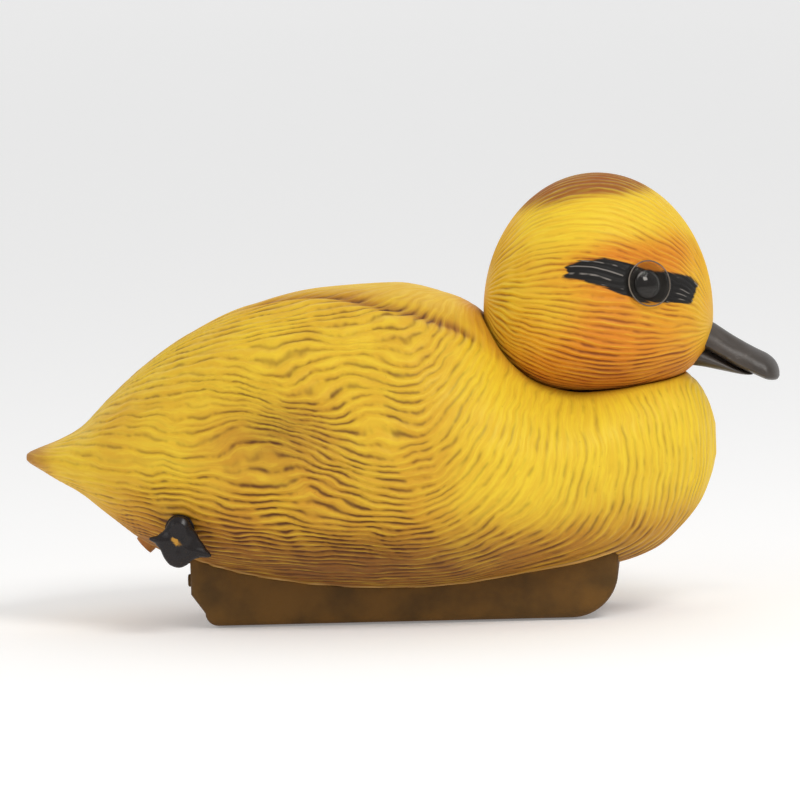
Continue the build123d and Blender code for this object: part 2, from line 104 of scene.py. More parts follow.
def cloud(points: np.ndarray, size: float, seed: float) -> np.ndarray:
    """Smooth noise at points.

    Args:
        points: places, one row each.
        size: size of the noise's features, in the points' units.
        seed: shift that gives another pattern.

    Returns:
        Values between about -1 and 1.
    """
    shift = Vector((seed, 1.7 * seed, -0.6 * seed))
    return np.array([noise.noise(Vector(p) / size + shift) for p in points])


def smooth_curve(knots: Sequence[float], values: Sequence[float], at: np.ndarray) -> np.ndarray:
    """Values on a smooth curve through knots that never overshoots them.

    Args:
        knots: rising places of the known values.
        values: the known values.
        at: places to read.

    Returns:
        The curve's values at those places.
    """
    x = np.asarray(knots)
    y = np.asarray(values)
    chord = np.diff(y) / np.diff(x)
    product = chord[:-1] * chord[1:]
    total = chord[:-1] + chord[1:]
    inner = np.where(product > 0, 2 * product / np.where(product > 0, total, 1.0), 0.0)
    slope = np.concatenate(([chord[0]], inner, [chord[-1]]))
    k = np.clip(np.searchsorted(x, at) - 1, 0, len(x) - 2)
    run = x[k + 1] - x[k]
    t = (at - x[k]) / run
    return (
        y[k] * (1 + 2 * t) * (1 - t) ** 2
        + slope[k] * run * t * (1 - t) ** 2
        + y[k + 1] * (3 - 2 * t) * t**2
        - slope[k + 1] * run * (1 - t) * t**2
    )


# ---------------------------------------------------------------- shader building


class Value:
    """A shader socket that takes part in arithmetic."""

    def __init__(self, shader: "Shader", socket: bpy.types.NodeSocket) -> None:
        """Keeps the shader and its socket."""
        self.shader = shader
        self.socket = socket

    def __add__(self, other: "Value | float") -> "Value":
        """Sum."""
        return self.shader.math("ADD", self, other)

    def __radd__(self, other: float) -> "Value":
        """Sum, number first."""
        return self.shader.math("ADD", other, self)

    def __sub__(self, other: "Value | float") -> "Value":
        """Difference."""
        return self.shader.math("SUBTRACT", self, other)

    def __rsub__(self, other: float) -> "Value":
        """Difference, number first."""
        return self.shader.math("SUBTRACT", other, self)

    def __mul__(self, other: "Value | float") -> "Value":
        """Product."""
        return self.shader.math("MULTIPLY", self, other)

    def __rmul__(self, other: float) -> "Value":
        """Product, number first."""
        return self.shader.math("MULTIPLY", other, self)

    def __pow__(self, other: float) -> "Value":
        """Power."""
        return self.shader.math("POWER", self, other)

    def cosine(self) -> "Value":
        """Cosine of the value in radians."""
        return self.shader.math("COSINE", self)

    def step(self, low: float, high: float) -> "Value":
        """Smooth rise from 0 at low to 1 at high."""
        node = self.shader.node(
            "ShaderNodeMapRange",
            {"interpolation_type": "SMOOTHSTEP"},
            {"Value": self, "From Min": low, "From Max": high},
        )
        return Value(self.shader, node.outputs["Result"])


class Shader:
    """A material under construction."""

    def __init__(self, name: str) -> None:
        """Starts an empty material.

        Args:
            name: the material's name.
        """
        self.material = bpy.data.materials.new(name)
        self.material.use_nodes = True
        self.tree = self.material.node_tree
        self.tree.nodes.clear()

    def node(
        self, kind: str, settings: dict | None = None, inputs: dict | None = None
    ) -> bpy.types.Node:
        """Adds a node.

        Args:
            kind: the node's type.
            settings: its properties, set first.
            inputs: values or links of its sockets, by name or number.

        Returns:
            The node.
        """
        node = self.tree.nodes.new(kind)
        for key, value in (settings or {}).items():
            setattr(node, key, value)
        for key, value in (inputs or {}).items():
            if isinstance(value, Value):
                self.tree.links.new(value.socket, node.inputs[key])
            else:
                node.inputs[key].default_value = value
        return node

    def math(self, operation: str, *values: "Value | float") -> Value:
        """Math node on one or two values."""
        node = self.node("ShaderNodeMath", {"operation": operation}, dict(enumerate(values)))
        return Value(self, node.outputs[0])

    def mix(self, factor: "Value | float", first: "Value | Colour", second: "Value | Colour") -> Value:
        """Mix of two colours."""
        node = self.node("ShaderNodeMix", {"data_type": "RGBA"}, {0: factor, 6: first, 7: second})
        return Value(self, node.outputs[2])

    def noise(self, vector: Value, scale: float, detail: float = 2.0, rough: float = 0.5) -> Value:
        """Noise between 0 and 1 on a vector."""
        node = self.node(
            "ShaderNodeTexNoise",
            {"noise_dimensions": "3D"},
            {"Vector": vector, "Scale": scale, "Detail": detail, "Roughness": rough},
        )
        return Value(self, node.outputs[0])

    def vector(self, x: "Value | float", y: "Value | float", z: "Value | float") -> Value:
        """Vector of three values."""
        return Value(self, self.node("ShaderNodeCombineXYZ", None, {0: x, 1: y, 2: z}).outputs[0])

    def parts(self, vector: Value) -> tuple[Value, Value, Value]:
        """The three values of a vector or colour."""
        node = self.node("ShaderNodeSeparateXYZ", None, {0: vector})
        return Value(self, node.outputs[0]), Value(self, node.outputs[1]), Value(self, node.outputs[2])

    def place(self) -> Value:
        """Object coordinates, in metres."""
        return Value(self, self.node("ShaderNodeTexCoord").outputs["Object"])

    def attribute(self, name: str, output: str = "Color") -> Value:
        """A mesh attribute."""
        node = self.node("ShaderNodeAttribute", {"attribute_name": name})
        return Value(self, node.outputs[output])

    def bump(self, height: Value, strength: float, depth: float) -> Value:
        """Bumped normal.

        Args:
            height: heights between 0 and 1.
            strength: how much of the bump shows.
            depth: depth of the full height, in metres.

        Returns:
            The normal.
        """
        node = self.node("ShaderNodeBump", None, {"Strength": strength, "Distance": depth, "Height": height})
        return Value(self, node.outputs["Normal"])

    def principled(self, inputs: dict) -> bpy.types.Node:
        """Adds the surface shader.

        Args:
            inputs: values or links of its sockets.

        Returns:
            The shader node.
        """
        return self.node("ShaderNodeBsdfPrincipled", None, inputs)

    def surface(self, node: bpy.types.Node) -> bpy.types.Material:
        """Joins a shader node to the material's output.

        Args:
            node: the last shader node.

        Returns:
            The finished material.
        """
        output = self.node("ShaderNodeOutputMaterial")
        self.tree.links.new(node.outputs[0], output.inputs["Surface"])
        return self.material


# ---------------------------------------------------------------- finishes


@dataclass(frozen=True)
class DownPaint:
    """Yellow paint over carved down, with brown paint left in the grooves, painted shade in the crease under
    the head and painted highlights on the crests and along the keel seam.
    """

    name: str
    lemon: Colour
    gold: Colour
    brown: Colour
    crease_shade_brown: Colour
    groove: Colour
    highlight_cream: Colour
    groove_strength: float
    striped: bool = False

    def material(self) -> bpy.types.Material:
        """Builds the paint, which follows the carving stored on the mesh."""
        s = Shader(self.name)
        place = s.place()
        brown, gold, crease_shade = s.parts(s.attribute("paint"))
        pitch, depth, seam_highlight = s.parts(s.attribute("carving"))
        flow = Value(s, s.node("ShaderNodeUVMap", {"uv_map": "flow"}).outputs[0])
        along, across, _ = s.parts(flow)
        wobble = s.noise(s.vector(along * 1.4, across * 0.30, 0.0), 1.0, 2.0)
        lane = across + (wobble - 0.5) * 0.30
        wide, close, fine = ((lane * (2 * math.pi * count)).cosine() * 0.5 + 0.5 for count in PITCHES)
        few = pitch.step(0.45, 0.05)
        many = pitch.step(0.55, 0.95)
        ridge = wide * few + fine * many + close * (1.0 - few - many)
        hair = s.noise(s.vector(along * 1.1, lane * 4.2, 0.0), 1.0, 3.0, 0.6)
        broken = s.noise(s.vector(along * 1.7, across * 0.55, 4.0), 1.0, 2.0)
        valley = ((1.0 - ridge) ** 2.0) * broken.step(0.26, 0.60) * depth
        strand = hair.step(0.38, 0.62)
        patch = s.noise(place, 60.0, 3.0, 0.55)
        speck = s.noise(place, 1100.0, 2.0, 0.6)
        gold_share = (gold + (patch - 0.5) * 0.45).step(0.0, 1.0)
        base = s.mix(gold_share, self.lemon, self.gold)
        brown_share = (brown + (patch - 0.5) * 0.5 * brown + (0.5 - strand) * 0.30 * brown).step(0.0, 1.05)
        base = s.mix(brown_share, base, self.brown)
        base = s.mix((1.0 - strand) * 0.22, base, self.gold)
        # Painted highlight: the crests of the carving are lightened toward lemon.
        base = s.mix(ridge.step(0.66, 1.0) * strand * 0.30 * (1.0 - crease_shade), base, self.lemon)
        in_groove = valley * (self.groove_strength + 0.9 * brown + 0.25 * gold)
        in_groove = in_groove + hair.step(0.36, 0.24) * 0.20 * depth
        base = s.mix(in_groove.step(0.0, 0.95), base, self.groove)
        # Painted shade: darkens the crease where the hull meets the head, and the head's underside.
        base = s.mix(crease_shade.step(0.10, 1.0), base, self.crease_shade_brown)
        # Painted highlight along the keel seam, from the carving attribute's third channel.
        base = s.mix(seam_highlight, base, self.highlight_cream)
        base = s.mix(speck.step(0.68, 0.80) * 0.25, base, self.brown)
        height = ridge * 0.62 * depth + hair * 0.40 * depth + speck * 0.05
        rough = 0.50 + (1.0 - strand) * 0.12 + (speck - 0.5) * 0.10
        if self.striped:
            edge = s.attribute("stripe", "Fac") + (hair - 0.5) * 0.9
            stripe = edge.step(-0.12, 0.14)
            # Painted highlight: grey on the carved crests inside the black stripe.
            crest = ridge.step(0.84, 1.0) * broken.step(0.50, 0.60) * depth.step(0.25, 0.45)
            wear_and_highlight = s.mix(crest * 0.62, (0.008, 0.007, 0.006, 1.0), (0.30, 0.27, 0.24, 1.0))
            base = s.mix(stripe, base, wear_and_highlight)
        normal = s.bump(height, 0.85, 0.55 * MM)
        return s.surface(
            s.principled({
                "Base Color": base, "Roughness": rough, "Normal": normal, "Specular IOR Level": 0.28,
            })
        )


@dataclass(frozen=True)
class Moulded:
    """Moulded plastic, rubber or felt with a fine skin."""

    name: str
    colour: Colour
    second: Colour
    roughness: float
    grain: float
    grain_size: float = 1400.0
    wear_and_highlight: float = 0.0
    metallic: float = 0.0
    specular: float = 0.5
    chip: Colour | None = None

    def material(self) -> bpy.types.Material:
        """Builds the plastic, mottled and finely grained."""
        s = Shader(self.name)
        place = s.place()
        mottle = s.noise(place, 90.0, 3.0, 0.55)
        grain = s.noise(place, self.grain_size, 3.0, 0.6)
        scuff = s.noise(place, 260.0, 4.0, 0.7)
        colour = s.mix(mottle.step(0.30, 0.72), self.colour, self.second)
        colour = s.mix(scuff.step(0.60, 0.78) * self.wear_and_highlight, colour, (0.32, 0.29, 0.25, 1.0))
        if self.chip:
            colour = s.mix(s.attribute("chip", "Fac"), colour, self.chip)
        rough = self.roughness + (grain - 0.5) * 0.16 + scuff.step(0.55, 0.80) * 0.10
        normal = s.bump(grain * 0.7 + mottle * 0.3, self.grain, 0.25 * MM)
        return s.surface(
            s.principled({
                "Base Color": colour, "Roughness": rough, "Normal": normal, "Metallic": self.metallic,
                "Specular IOR Level": self.specular,
            })
        )


@dataclass(frozen=True)
class ClearLens:
    """Clear polished dome that shows what is under it."""

    name: str = "clear_lens"

    def material(self) -> bpy.types.Material:
        """Builds the lens: clear face on, mirror-like at a glance."""
        s = Shader(self.name)
        haze = s.noise(s.place(), 700.0, 2.0)
        clear = s.node("ShaderNodeBsdfTransparent", None, {"Color": (0.93, 0.91, 0.88, 1.0)})
        gloss = s.principled(
            {"Base Color": (0.03, 0.028, 0.025, 1.0), "Roughness": haze * 0.03 + 0.02, "IOR": 1.5,
             "Specular IOR Level": 0.6, "Coat Weight": 1.0, "Coat Roughness": 0.02}
        )
        fresnel = Value(s, s.node("ShaderNodeFresnel", None, {"IOR": 1.45}).outputs[0])
        behind = Value(s, s.node("ShaderNodeNewGeometry").outputs["Backfacing"])
        mix = s.node("ShaderNodeMixShader", None, {0: (fresnel + 0.03) * (1.0 - behind)})
        s.tree.links.new(clear.outputs[0], mix.inputs[1])
        s.tree.links.new(gloss.outputs[0], mix.inputs[2])
        return s.surface(mix)


LEMON = (0.86, 0.60, 0.030, 1.0)
GOLD = (0.61, 0.240, 0.018, 1.0)
BROWN = (0.155, 0.055, 0.012, 1.0)
CREASE_SHADE_BROWN = (0.105, 0.042, 0.010, 1.0)
HIGHLIGHT_CREAM = (0.82, 0.50, 0.17, 1.0)

BODY_PAINT = DownPaint("body_paint", LEMON, GOLD, BROWN, CREASE_SHADE_BROWN, (0.115, 0.036, 0.006, 1.0), HIGHLIGHT_CREAM, 0.50)
HEAD_PAINT = DownPaint(
    "head_paint", LEMON, (0.72, 0.235, 0.012, 1.0), (0.25, 0.075, 0.012, 1.0), CREASE_SHADE_BROWN, (0.28, 0.07, 0.006, 1.0),
    HIGHLIGHT_CREAM, 0.74, True,
)
KEEL_PLASTIC = Moulded(
    "keel_plastic", (0.155, 0.072, 0.012, 1.0), (0.085, 0.042, 0.008, 1.0), 0.66, 0.6, 1900.0, specular=0.25
)
BLACK_MOULDING = Moulded(
    "black_moulding", (0.040, 0.032, 0.027, 1.0), (0.062, 0.050, 0.042, 1.0), 0.42, 0.30, 1700.0, 0.30
)
FOOT_PAINT = Moulded(
    "foot_paint", (0.011, 0.008, 0.008, 1.0), (0.017, 0.012, 0.012, 1.0), 0.27, 0.12, 900.0, 0.03,
    specular=0.32, chip=(0.62, 0.30, 0.03, 1.0),
)
PUPIL_GLOSS = Moulded(
    "pupil_gloss", (0.002, 0.002, 0.002, 1.0), (0.004, 0.003, 0.003, 1.0), 0.07, 0.0, specular=0.5
)
PLUG_PAINT = Moulded("plug_paint", (0.60, 0.25, 0.03, 1.0), (0.42, 0.15, 0.02, 1.0), 0.45, 0.3)
LENS_EDGE_HIGHLIGHT = Moulded("lens_rim", (0.20, 0.165, 0.135, 1.0), (0.12, 0.10, 0.08, 1.0), 0.18, 0.05, 900.0)
GREY_ACETAL = Moulded("grey_acetal", (0.10, 0.10, 0.105, 1.0), (0.13, 0.13, 0.135, 1.0), 0.5, 0.2)
FELT = Moulded("felt", (0.06, 0.045, 0.04, 1.0), (0.10, 0.08, 0.07, 1.0), 0.95, 1.0, 2600.0)
SEAL_RUBBER = Moulded("seal_rubber", (0.012, 0.012, 0.012, 1.0), (0.02, 0.02, 0.02, 1.0), 0.6, 0.3)
SPRING_STEEL = Moulded(
    "spring_steel", (0.50, 0.49, 0.48, 1.0), (0.42, 0.41, 0.40, 1.0), 0.32, 0.1, metallic=1.0
)
CAST_IRON = Moulded(
    "cast_iron", (0.05, 0.05, 0.052, 1.0), (0.08, 0.075, 0.07, 1.0), 0.75, 0.9, 1200.0, metallic=0.6
)


# ---------------------------------------------------------------- mesh helpers


def mesh_points(mesh: bpy.types.Mesh) -> np.ndarray:
    """A mesh's vertex places, one row each."""
    flat = np.empty(len(mesh.vertices) * 3)
    mesh.vertices.foreach_get("co", flat)
    return flat.reshape(-1, 3)


def mesh_normals(mesh: bpy.types.Mesh) -> np.ndarray:
    """A mesh's vertex normals, one row each."""
    flat = np.empty(len(mesh.vertices) * 3)
    mesh.vertices.foreach_get("normal", flat)
    return flat.reshape(-1, 3)


def move_points(mesh: bpy.types.Mesh, points: np.ndarray) -> None:
    """Sets a mesh's vertex places."""
    mesh.vertices.foreach_set("co", points.astype(np.float32).ravel())
    mesh.update()


def add_piece(
    name: str,
    bm: bmesh.types.BMesh,
    material: bpy.types.Material,
    body: Ride,
    replaced: Iterable[str] = (),
) -> bpy.types.Object:
    """Makes a smooth-shaded object of a bmesh and ties it to the frame.

    Args:
        name: the piece's name.
        bm: its mesh, in metres, which is freed.
        material: its material.
        body: the body it moves with.
        replaced: CAD nodes that it stands for.

    Returns:
        The object.
    """
    mesh = bpy.data.meshes.new(name)
    bm.normal_update()
    bmesh.ops.recalc_face_normals(bm, faces=bm.faces)
    bm.to_mesh(mesh)
    bm.free()
    mesh.polygons.foreach_set("use_smooth", [True] * len(mesh.polygons))
    mesh.materials.append(material)
    piece = bpy.data.objects.new(name, mesh)
    bpy.context.scene.collection.objects.link(piece)
    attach(piece, body.value)
    for node in replaced:
        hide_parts(node)
    LOG.info("%s: %d faces", name, len(mesh.polygons))
    return piece


def shaped_sphere(
    segments: int, rings: int, shape: Callable[[np.ndarray, np.ndarray], np.ndarray]
) -> bmesh.types.BMesh:
    """A sphere's net with its points moved onto another closed form.

    Args:
        segments: divisions around.
        rings: divisions from pole to pole.
        shape: gives places from the share of the way from the first pole to the second, and the
            turn about the axis between them.

    Returns:
        The shaped net.
    """
    bm = bmesh.new()
    bmesh.ops.create_uvsphere(bm, u_segments=segments, v_segments=rings, radius=1.0)
    start = np.array([vert.co for vert in bm.verts])
    share = np.arccos(np.clip(start[:, 2], -1, 1)) / math.pi
    turn = np.arctan2(start[:, 1], start[:, 0])
    for vert, place in zip(bm.verts, shape(share, turn)):
        vert.co = place
    return bm


def spin_on_axis(bm: bmesh.types.BMesh, steps: int, centre: Vector, axis: Vector) -> None:
    """Spins all of a flat profile about Z, then stands the form on an axis.

    Args:
        bm: the profile, in the XZ plane.
        steps: divisions around.
        centre: where the origin comes to lie.
        axis: direction that Z is turned to.
    """
    bmesh.ops.spin(
        bm, geom=list(bm.verts) + list(bm.edges), cent=(0, 0, 0), axis=(0, 0, 1), angle=2 * math.pi,
        steps=steps, use_merge=True,
    )
    bmesh.ops.remove_doubles(bm, verts=bm.verts, dist=WELD)
    turn = Vector((0, 0, 1)).rotation_difference(axis).to_matrix().to_4x4()
    bmesh.ops.transform(bm, matrix=Matrix.Translation(centre) @ turn, verts=bm.verts)


def turned_profile(
    profile: Sequence[tuple[float, float]], steps: int, centre: Vector, axis: Vector
) -> bmesh.types.BMesh:
    """Spins a profile about an axis.

    Args:
        profile: (radius, height) points, from the axis outwards and back to it.
        steps: divisions around.
        centre: where height zero lies on the axis.
        axis: direction of the axis.

    Returns:
        The turned form.
    """
    bm = bmesh.new()
    verts = [bm.verts.new((radius, 0.0, height)) for radius, height in profile]
    for pair in zip(verts, verts[1:]):
        bm.edges.new(pair)
    spin_on_axis(bm, steps, centre, axis)
    return bm


def cap_profile(radius: float, height: float, skirt: float, points: int) -> list[tuple[float, float]]:
    """Profile of a domed button: a dome over a straight skirt, closed underneath.

    Args:
        radius: the button's radius.
        height: rise of the dome.
        skirt: depth of the straight side.
        points: points along the dome.

    Returns:
        (radius, height) points.
    """
    shoulder = 0.30 * height
    flat = radius - shoulder
    rise = height - shoulder
    ball = (flat**2 + rise**2) / (2 * rise)
    spread = math.asin(flat / ball)
    dome = [
        (ball * math.sin(spread * k / points), height - ball + ball * math.cos(spread * k / points))
        for k in range(points + 1)
    ]
    bend = [
        (flat + shoulder * math.sin(turn), shoulder * math.cos(turn))
        for turn in (0.5 * math.pi * (k + 1) / 8 for k in range(8))
    ]
    return dome + bend + [(radius, -skirt), (0.0, -skirt)]


def ring_of_wire(radius: float, wire: float, centre: Vector, axis: Vector) -> bmesh.types.BMesh:
    """A ring of round wire.

    Args:
        radius: from the axis to the middle of the wire.
        wire: radius of the wire.
        centre: the ring's centre.
        axis: the ring's axis.

    Returns:
        The ring.
    """
    bm = bmesh.new()
    circle = bmesh.ops.create_circle(bm, segments=16, radius=wire)["verts"]
    upright = Matrix.Rotation(math.radians(90), 4, "X")
    bmesh.ops.transform(bm, matrix=Matrix.Translation((radius, 0, 0)) @ upright, verts=circle)
    spin_on_axis(bm, EYE_STEPS, centre, axis)
    return bm


class Comb:
    """Lays even lines over a mesh along a wanted direction."""

    def __init__(self, mesh: bpy.types.Mesh) -> None:
        """Reads the mesh's edges and places.

        Args:
            mesh: the mesh to comb.
        """
        self.points = mesh_points(mesh)
        self.normals = mesh_normals(mesh)
        pairs = np.empty(len(mesh.edges) * 2, dtype=np.int64)
        mesh.edges.foreach_get("vertices", pairs)
        self.first, self.second = pairs.reshape(-1, 2).T
        self.span = self.points[self.second] - self.points[self.first]
        self.weight = 1.0 / np.maximum(np.linalg.norm(self.span, axis=1), 1e-6)

    def _spread(self, change: np.ndarray) -> np.ndarray:
        """Sums changes along edges at their ends."""
        count = len(self.points)
        return np.bincount(self.second, change, count) - np.bincount(self.first, change, count)

    def steepness(self, value: np.ndarray) -> np.ndarray:
        """How fast a value rises at each vertex.

        Args:
            value: one value for each vertex.

        Returns:
            The slope at each vertex, smoothed over its neighbours.
        """
        count = len(self.points)
        slope = ((value[self.second] - value[self.first]) * self.weight) ** 2
        degree = np.bincount(self.first, minlength=count) + np.bincount(self.second, minlength=count)
        mean = (np.bincount(self.first, slope, count) + np.bincount(self.second, slope, count)) / degree
        for _ in range(60):
            side = 0.5 * (mean[self.first] + mean[self.second])
            mean = (np.bincount(self.first, side, count) + np.bincount(self.second, side, count)) / degree
        return np.sqrt(2 * mean)

    def fit(self, direction: np.ndarray, start: np.ndarray, rounds: int) -> np.ndarray:
        """Values over the mesh that rise evenly along a direction.

        Args:
            direction: the wanted gradient at each vertex.
            start: a first guess.
            rounds: steps of the solver.

        Returns:
            One value for each vertex.
        """
        middle = 0.5 * (direction[self.first] + direction[self.second])
        wanted = np.einsum("ij,ij->i", middle, self.span)
        count = len(self.points)
        scale = np.bincount(self.first, self.weight, count) + np.bincount(self.second, self.weight, count)
        value = start.copy()
        rest = self._spread(self.weight * (wanted - (value[self.second] - value[self.first])))
        step = rest / scale
        aim = step.copy()
        energy = rest @ step
        for _ in range(rounds):
            spread = self._spread(self.weight * (aim[self.second] - aim[self.first]))
            rate = energy / max(aim @ spread, 1e-30)
            value += rate * aim
            rest -= rate * spread
            step = rest / scale
            fresh = rest @ step
            aim = step + (fresh / energy) * aim
            energy = fresh
        return value


def store_colours(mesh: bpy.types.Mesh, name: str, *channels: np.ndarray) -> None:
    """Stores up to three values for each vertex as a colour attribute.

    Args:
        mesh: the mesh.
        name: the attribute's name.
        channels: the values.
    """
    data = np.ones((len(mesh.vertices), 4))
    data[:, :3] = 0.0
    for k, channel in enumerate(channels):
        data[:, k] = channel
    mesh.color_attributes.new(name, "FLOAT_COLOR", "POINT").data.foreach_set("color", data.ravel())


def store_flow(mesh: bpy.types.Mesh, along: np.ndarray, across: np.ndarray) -> None:
    """Stores the flow of the carving as a UV map.

    Args:
        mesh: the mesh.
        along: centimetres along the strokes.
        across: count of strokes across them.
    """
    corner = np.empty(len(mesh.loops), dtype=np.int64)
    mesh.loops.foreach_get("vertex_index", corner)
    layer = mesh.uv_layers.new(name="flow")
    layer.data.foreach_set("uv", np.stack((along[corner], across[corner]), axis=1).ravel())


def carve(
    mesh: bpy.types.Mesh, across: np.ndarray, pitch: np.ndarray, depth: np.ndarray, deepest: float
) -> None:
    """Cuts the down grooves into a mesh.

    Args:
        mesh: the mesh.
        across: count of strokes across.
        pitch: how close the strokes lie, from 0 for wide ones to 1 for fine ones.
        depth: how deep the cuts are, 0 to 1.
        deepest: depth of a full cut, in metres.
    """
    wide, close, fine = (0.5 + 0.5 * np.cos(2 * math.pi * count * across) for count in PITCHES)
    few = smooth_step(0.45, 0.05, pitch)
    many = smooth_step(0.55, 0.95, pitch)
    ridge = wide * few + fine * many + close * (1 - few - many)
    cut = (1 - ridge) ** 1.6 * depth * deepest
    move_points(mesh, mesh_points(mesh) - mesh_normals(mesh) * cut[:, None])


# ---------------------------------------------------------------- forms


@dataclass(frozen=True)
class HeadForm:
    """The round head: a ball that is taller above its widest line than below it."""

    centre: tuple[float, float, float]
    radius: float
    upper: float
    lower: float
    squareness: float = 2.45
    eye_rise: float = 9.1 * MM
    eye_forward: float = 28.0
    eye_tilt: float = 12.0

    @classmethod
    def from_frame(cls) -> "HeadForm":
        """The head that the frame holds."""
        low, high = (np.array(corner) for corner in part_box("head_shell"))
        radius = (high[1] - low[1]) / 2
        centre = ((low[0] + high[0]) / 2, 0.0, HEAD_WIDEST)
        return cls(centre, radius, high[2] - HEAD_WIDEST, HEAD_BELOW_WIDEST)

    def share(self, points: np.ndarray, gap: float = 0.0) -> np.ndarray:
        """How far out points lie, as a share of the way to the head's surface plus a gap."""
        away = points - np.array(self.centre)
        flat = np.hypot(away[:, 0], away[:, 1]) / (self.radius + gap)
        below = away[:, 2] < 0
        tall = np.abs(away[:, 2]) / np.where(below, self.lower + gap, self.upper + gap)
        power = np.where(below, self.squareness, 2.0)
        return (flat**power + tall**power) ** (1 / power)

    def on_surface(self, directions: np.ndarray) -> np.ndarray:
        """Places on the surface in directions from the centre."""
        centre = np.array(self.centre)
        reach = self.share(centre + directions)
        return centre + directions / reach[:, None]

    def eye_frame(self, side: Side) -> tuple[Vector, Vector]:
        """Centre of an eye on the surface and the way it faces."""
        reach = self.radius * math.sqrt(1 - (self.eye_rise / self.upper) ** 2)
        turn = math.radians(90 - self.eye_forward)
        tilt = math.radians(self.eye_tilt)
        out = Vector((math.cos(turn), side.value * math.sin(turn), 0.0))
        centre = Vector(self.centre) + out * reach + Vector((0, 0, self.eye_rise))
        return centre, (out * math.cos(tilt) + Vector((0, 0, math.sin(tilt)))).normalized()


@dataclass(frozen=True)
class HullForm:
    """The hull's outline as stations from tail to breast, drawn between the frame's ends.

    Each station holds the place along the hull as a share of its length, then the top, bottom and
    widest line as shares of its height, the half width as a share of half its width, and the
    crown's fullness.
    """

    stations: tuple[tuple[float, ...], ...] = (
        (0.000, 0.476, 0.449, 0.05, 0.463, 0.5523),
        (0.016, 0.491, 0.428, 0.15, 0.462, 0.5523),
        (0.044, 0.514, 0.389, 0.27, 0.460, 0.5523),
        (0.077, 0.552, 0.347, 0.39, 0.458, 0.5523),
        (0.120, 0.645, 0.270, 0.53, 0.452, 0.5523),
        (0.172, 0.748, 0.181, 0.67, 0.448, 0.5523),
        (0.241, 0.852, 0.103, 0.81, 0.443, 0.5523),
        (0.328, 0.938, 0.049, 0.92, 0.438, 0.5523),
        (0.438, 0.990, 0.013, 0.985, 0.433, 0.5523),
        (0.540, 1.000, 0.000, 1.00, 0.432, 0.5523),
        (0.624, 0.955, 0.007, 0.99, 0.432, 0.50),
        (0.665, 0.895, 0.019, 0.975, 0.432, 0.46),
        (0.705, 0.785, 0.030, 0.945, 0.433, 0.46),
        (0.750, 0.700, 0.044, 0.90, 0.435, 0.50),
        (0.804, 0.668, 0.058, 0.83, 0.440, 0.56),
        (0.859, 0.688, 0.080, 0.74, 0.446, 0.60),
        (0.908, 0.708, 0.119, 0.62, 0.454, 0.62),
        (0.946, 0.700, 0.188, 0.49, 0.462, 0.60),
        (0.976, 0.654, 0.270, 0.345, 0.466, 0.5523),
        (0.993, 0.578, 0.358, 0.195, 0.468, 0.5523),
        (1.000, 0.515, 0.421, 0.09, 0.468, 0.5523),
    )
    round_curve: float = 0.5523
    bilge: float = 0.66

    def sizes(self, along: np.ndarray) -> tuple[np.ndarray, ...]:
        """Place, top, bottom, half width, widest height and crown at shares of the length."""
        low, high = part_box("body_shell")
        knots, *columns = zip(*self.stations)
        top, bottom, half, widest, crown = (smooth_curve(knots, column, along) for column in columns)
        tall = high[2] - low[2]
        return (
            low[0] + along * (high[0] - low[0]),
            low[2] + top * tall,
            low[2] + bottom * tall,
            half * (high[1] - low[1]) / 2,
            low[2] + widest * tall,
            crown,
        )

    def points(self, along: np.ndarray, scale: np.ndarray, turn: np.ndarray) -> np.ndarray:
        """Places on the hull.

        Args:
            along: shares of the hull's length.
            scale: share of the section's size, below 1 only on the end caps.
            turn: angles from the crown, positive to the duck's left.

        Returns:
            One row for each place.
        """
        x, top, bottom, half, widest, crown = self.sizes(along)
        quarter = np.abs(turn) / (0.5 * math.pi)
        above = quarter <= 1
        t = np.where(above, quarter, quarter - 1)
        b0, b1, b2, b3 = (1 - t) ** 3, 3 * (1 - t) ** 2 * t, 3 * (1 - t) * t**2, t**3
        rise, drop, k = top - widest, widest - bottom, self.round_curve
        across = np.where(above, half * (b1 * crown + b2 + b3), half * (b0 + b1 + b2 * self.bilge))
        height = np.where(
            above,
            widest + rise * (b0 + b1 + b2 * k),
            widest - drop * (b1 * k + b2 + b3),
        )
        middle = 0.5 * (top + bottom)
        side = np.sign(turn) * across * scale
        return np.stack((x, side, middle + (height - middle) * scale), axis=1)

    def spacing(self, share: np.ndarray) -> tuple[np.ndarray, np.ndarray]:
        """Where rings lie along the hull, closer on the breast than on the flank.

        Args:
            share: share of the way from the tail's pole to the breast's pole.

        Returns:
            Shares of the hull's length, and scales of the end caps.
        """
        along = np.linspace(0, 1, 3000)
        x, top, bottom, half, _, _ = self.sizes(along)
        steps = np.hypot(np.diff(x), 0.5 * (np.abs(np.diff(half)) + 0.5 * np.abs(np.diff(top - bottom))))
        closeness = 1.0 + 1.9 * smooth_step(0.55, 0.74, along[1:])
        travel = np.concatenate(([0], np.cumsum(steps * closeness)))
        tail_cap, breast_cap = half[0], half[-1] * 2.9
        aim = share * (tail_cap + travel[-1] + breast_cap) - tail_cap
        place = np.interp(aim, travel, along)
        scale = np.ones_like(share)
        scale = np.where(aim < 0, 1 + aim / tail_cap, scale)
        scale = np.where(aim > travel[-1], 1 - (aim - travel[-1]) / breast_cap, scale)
        return place, np.clip(scale, 0.0, 1.0)


# ---------------------------------------------------------------- hull pieces


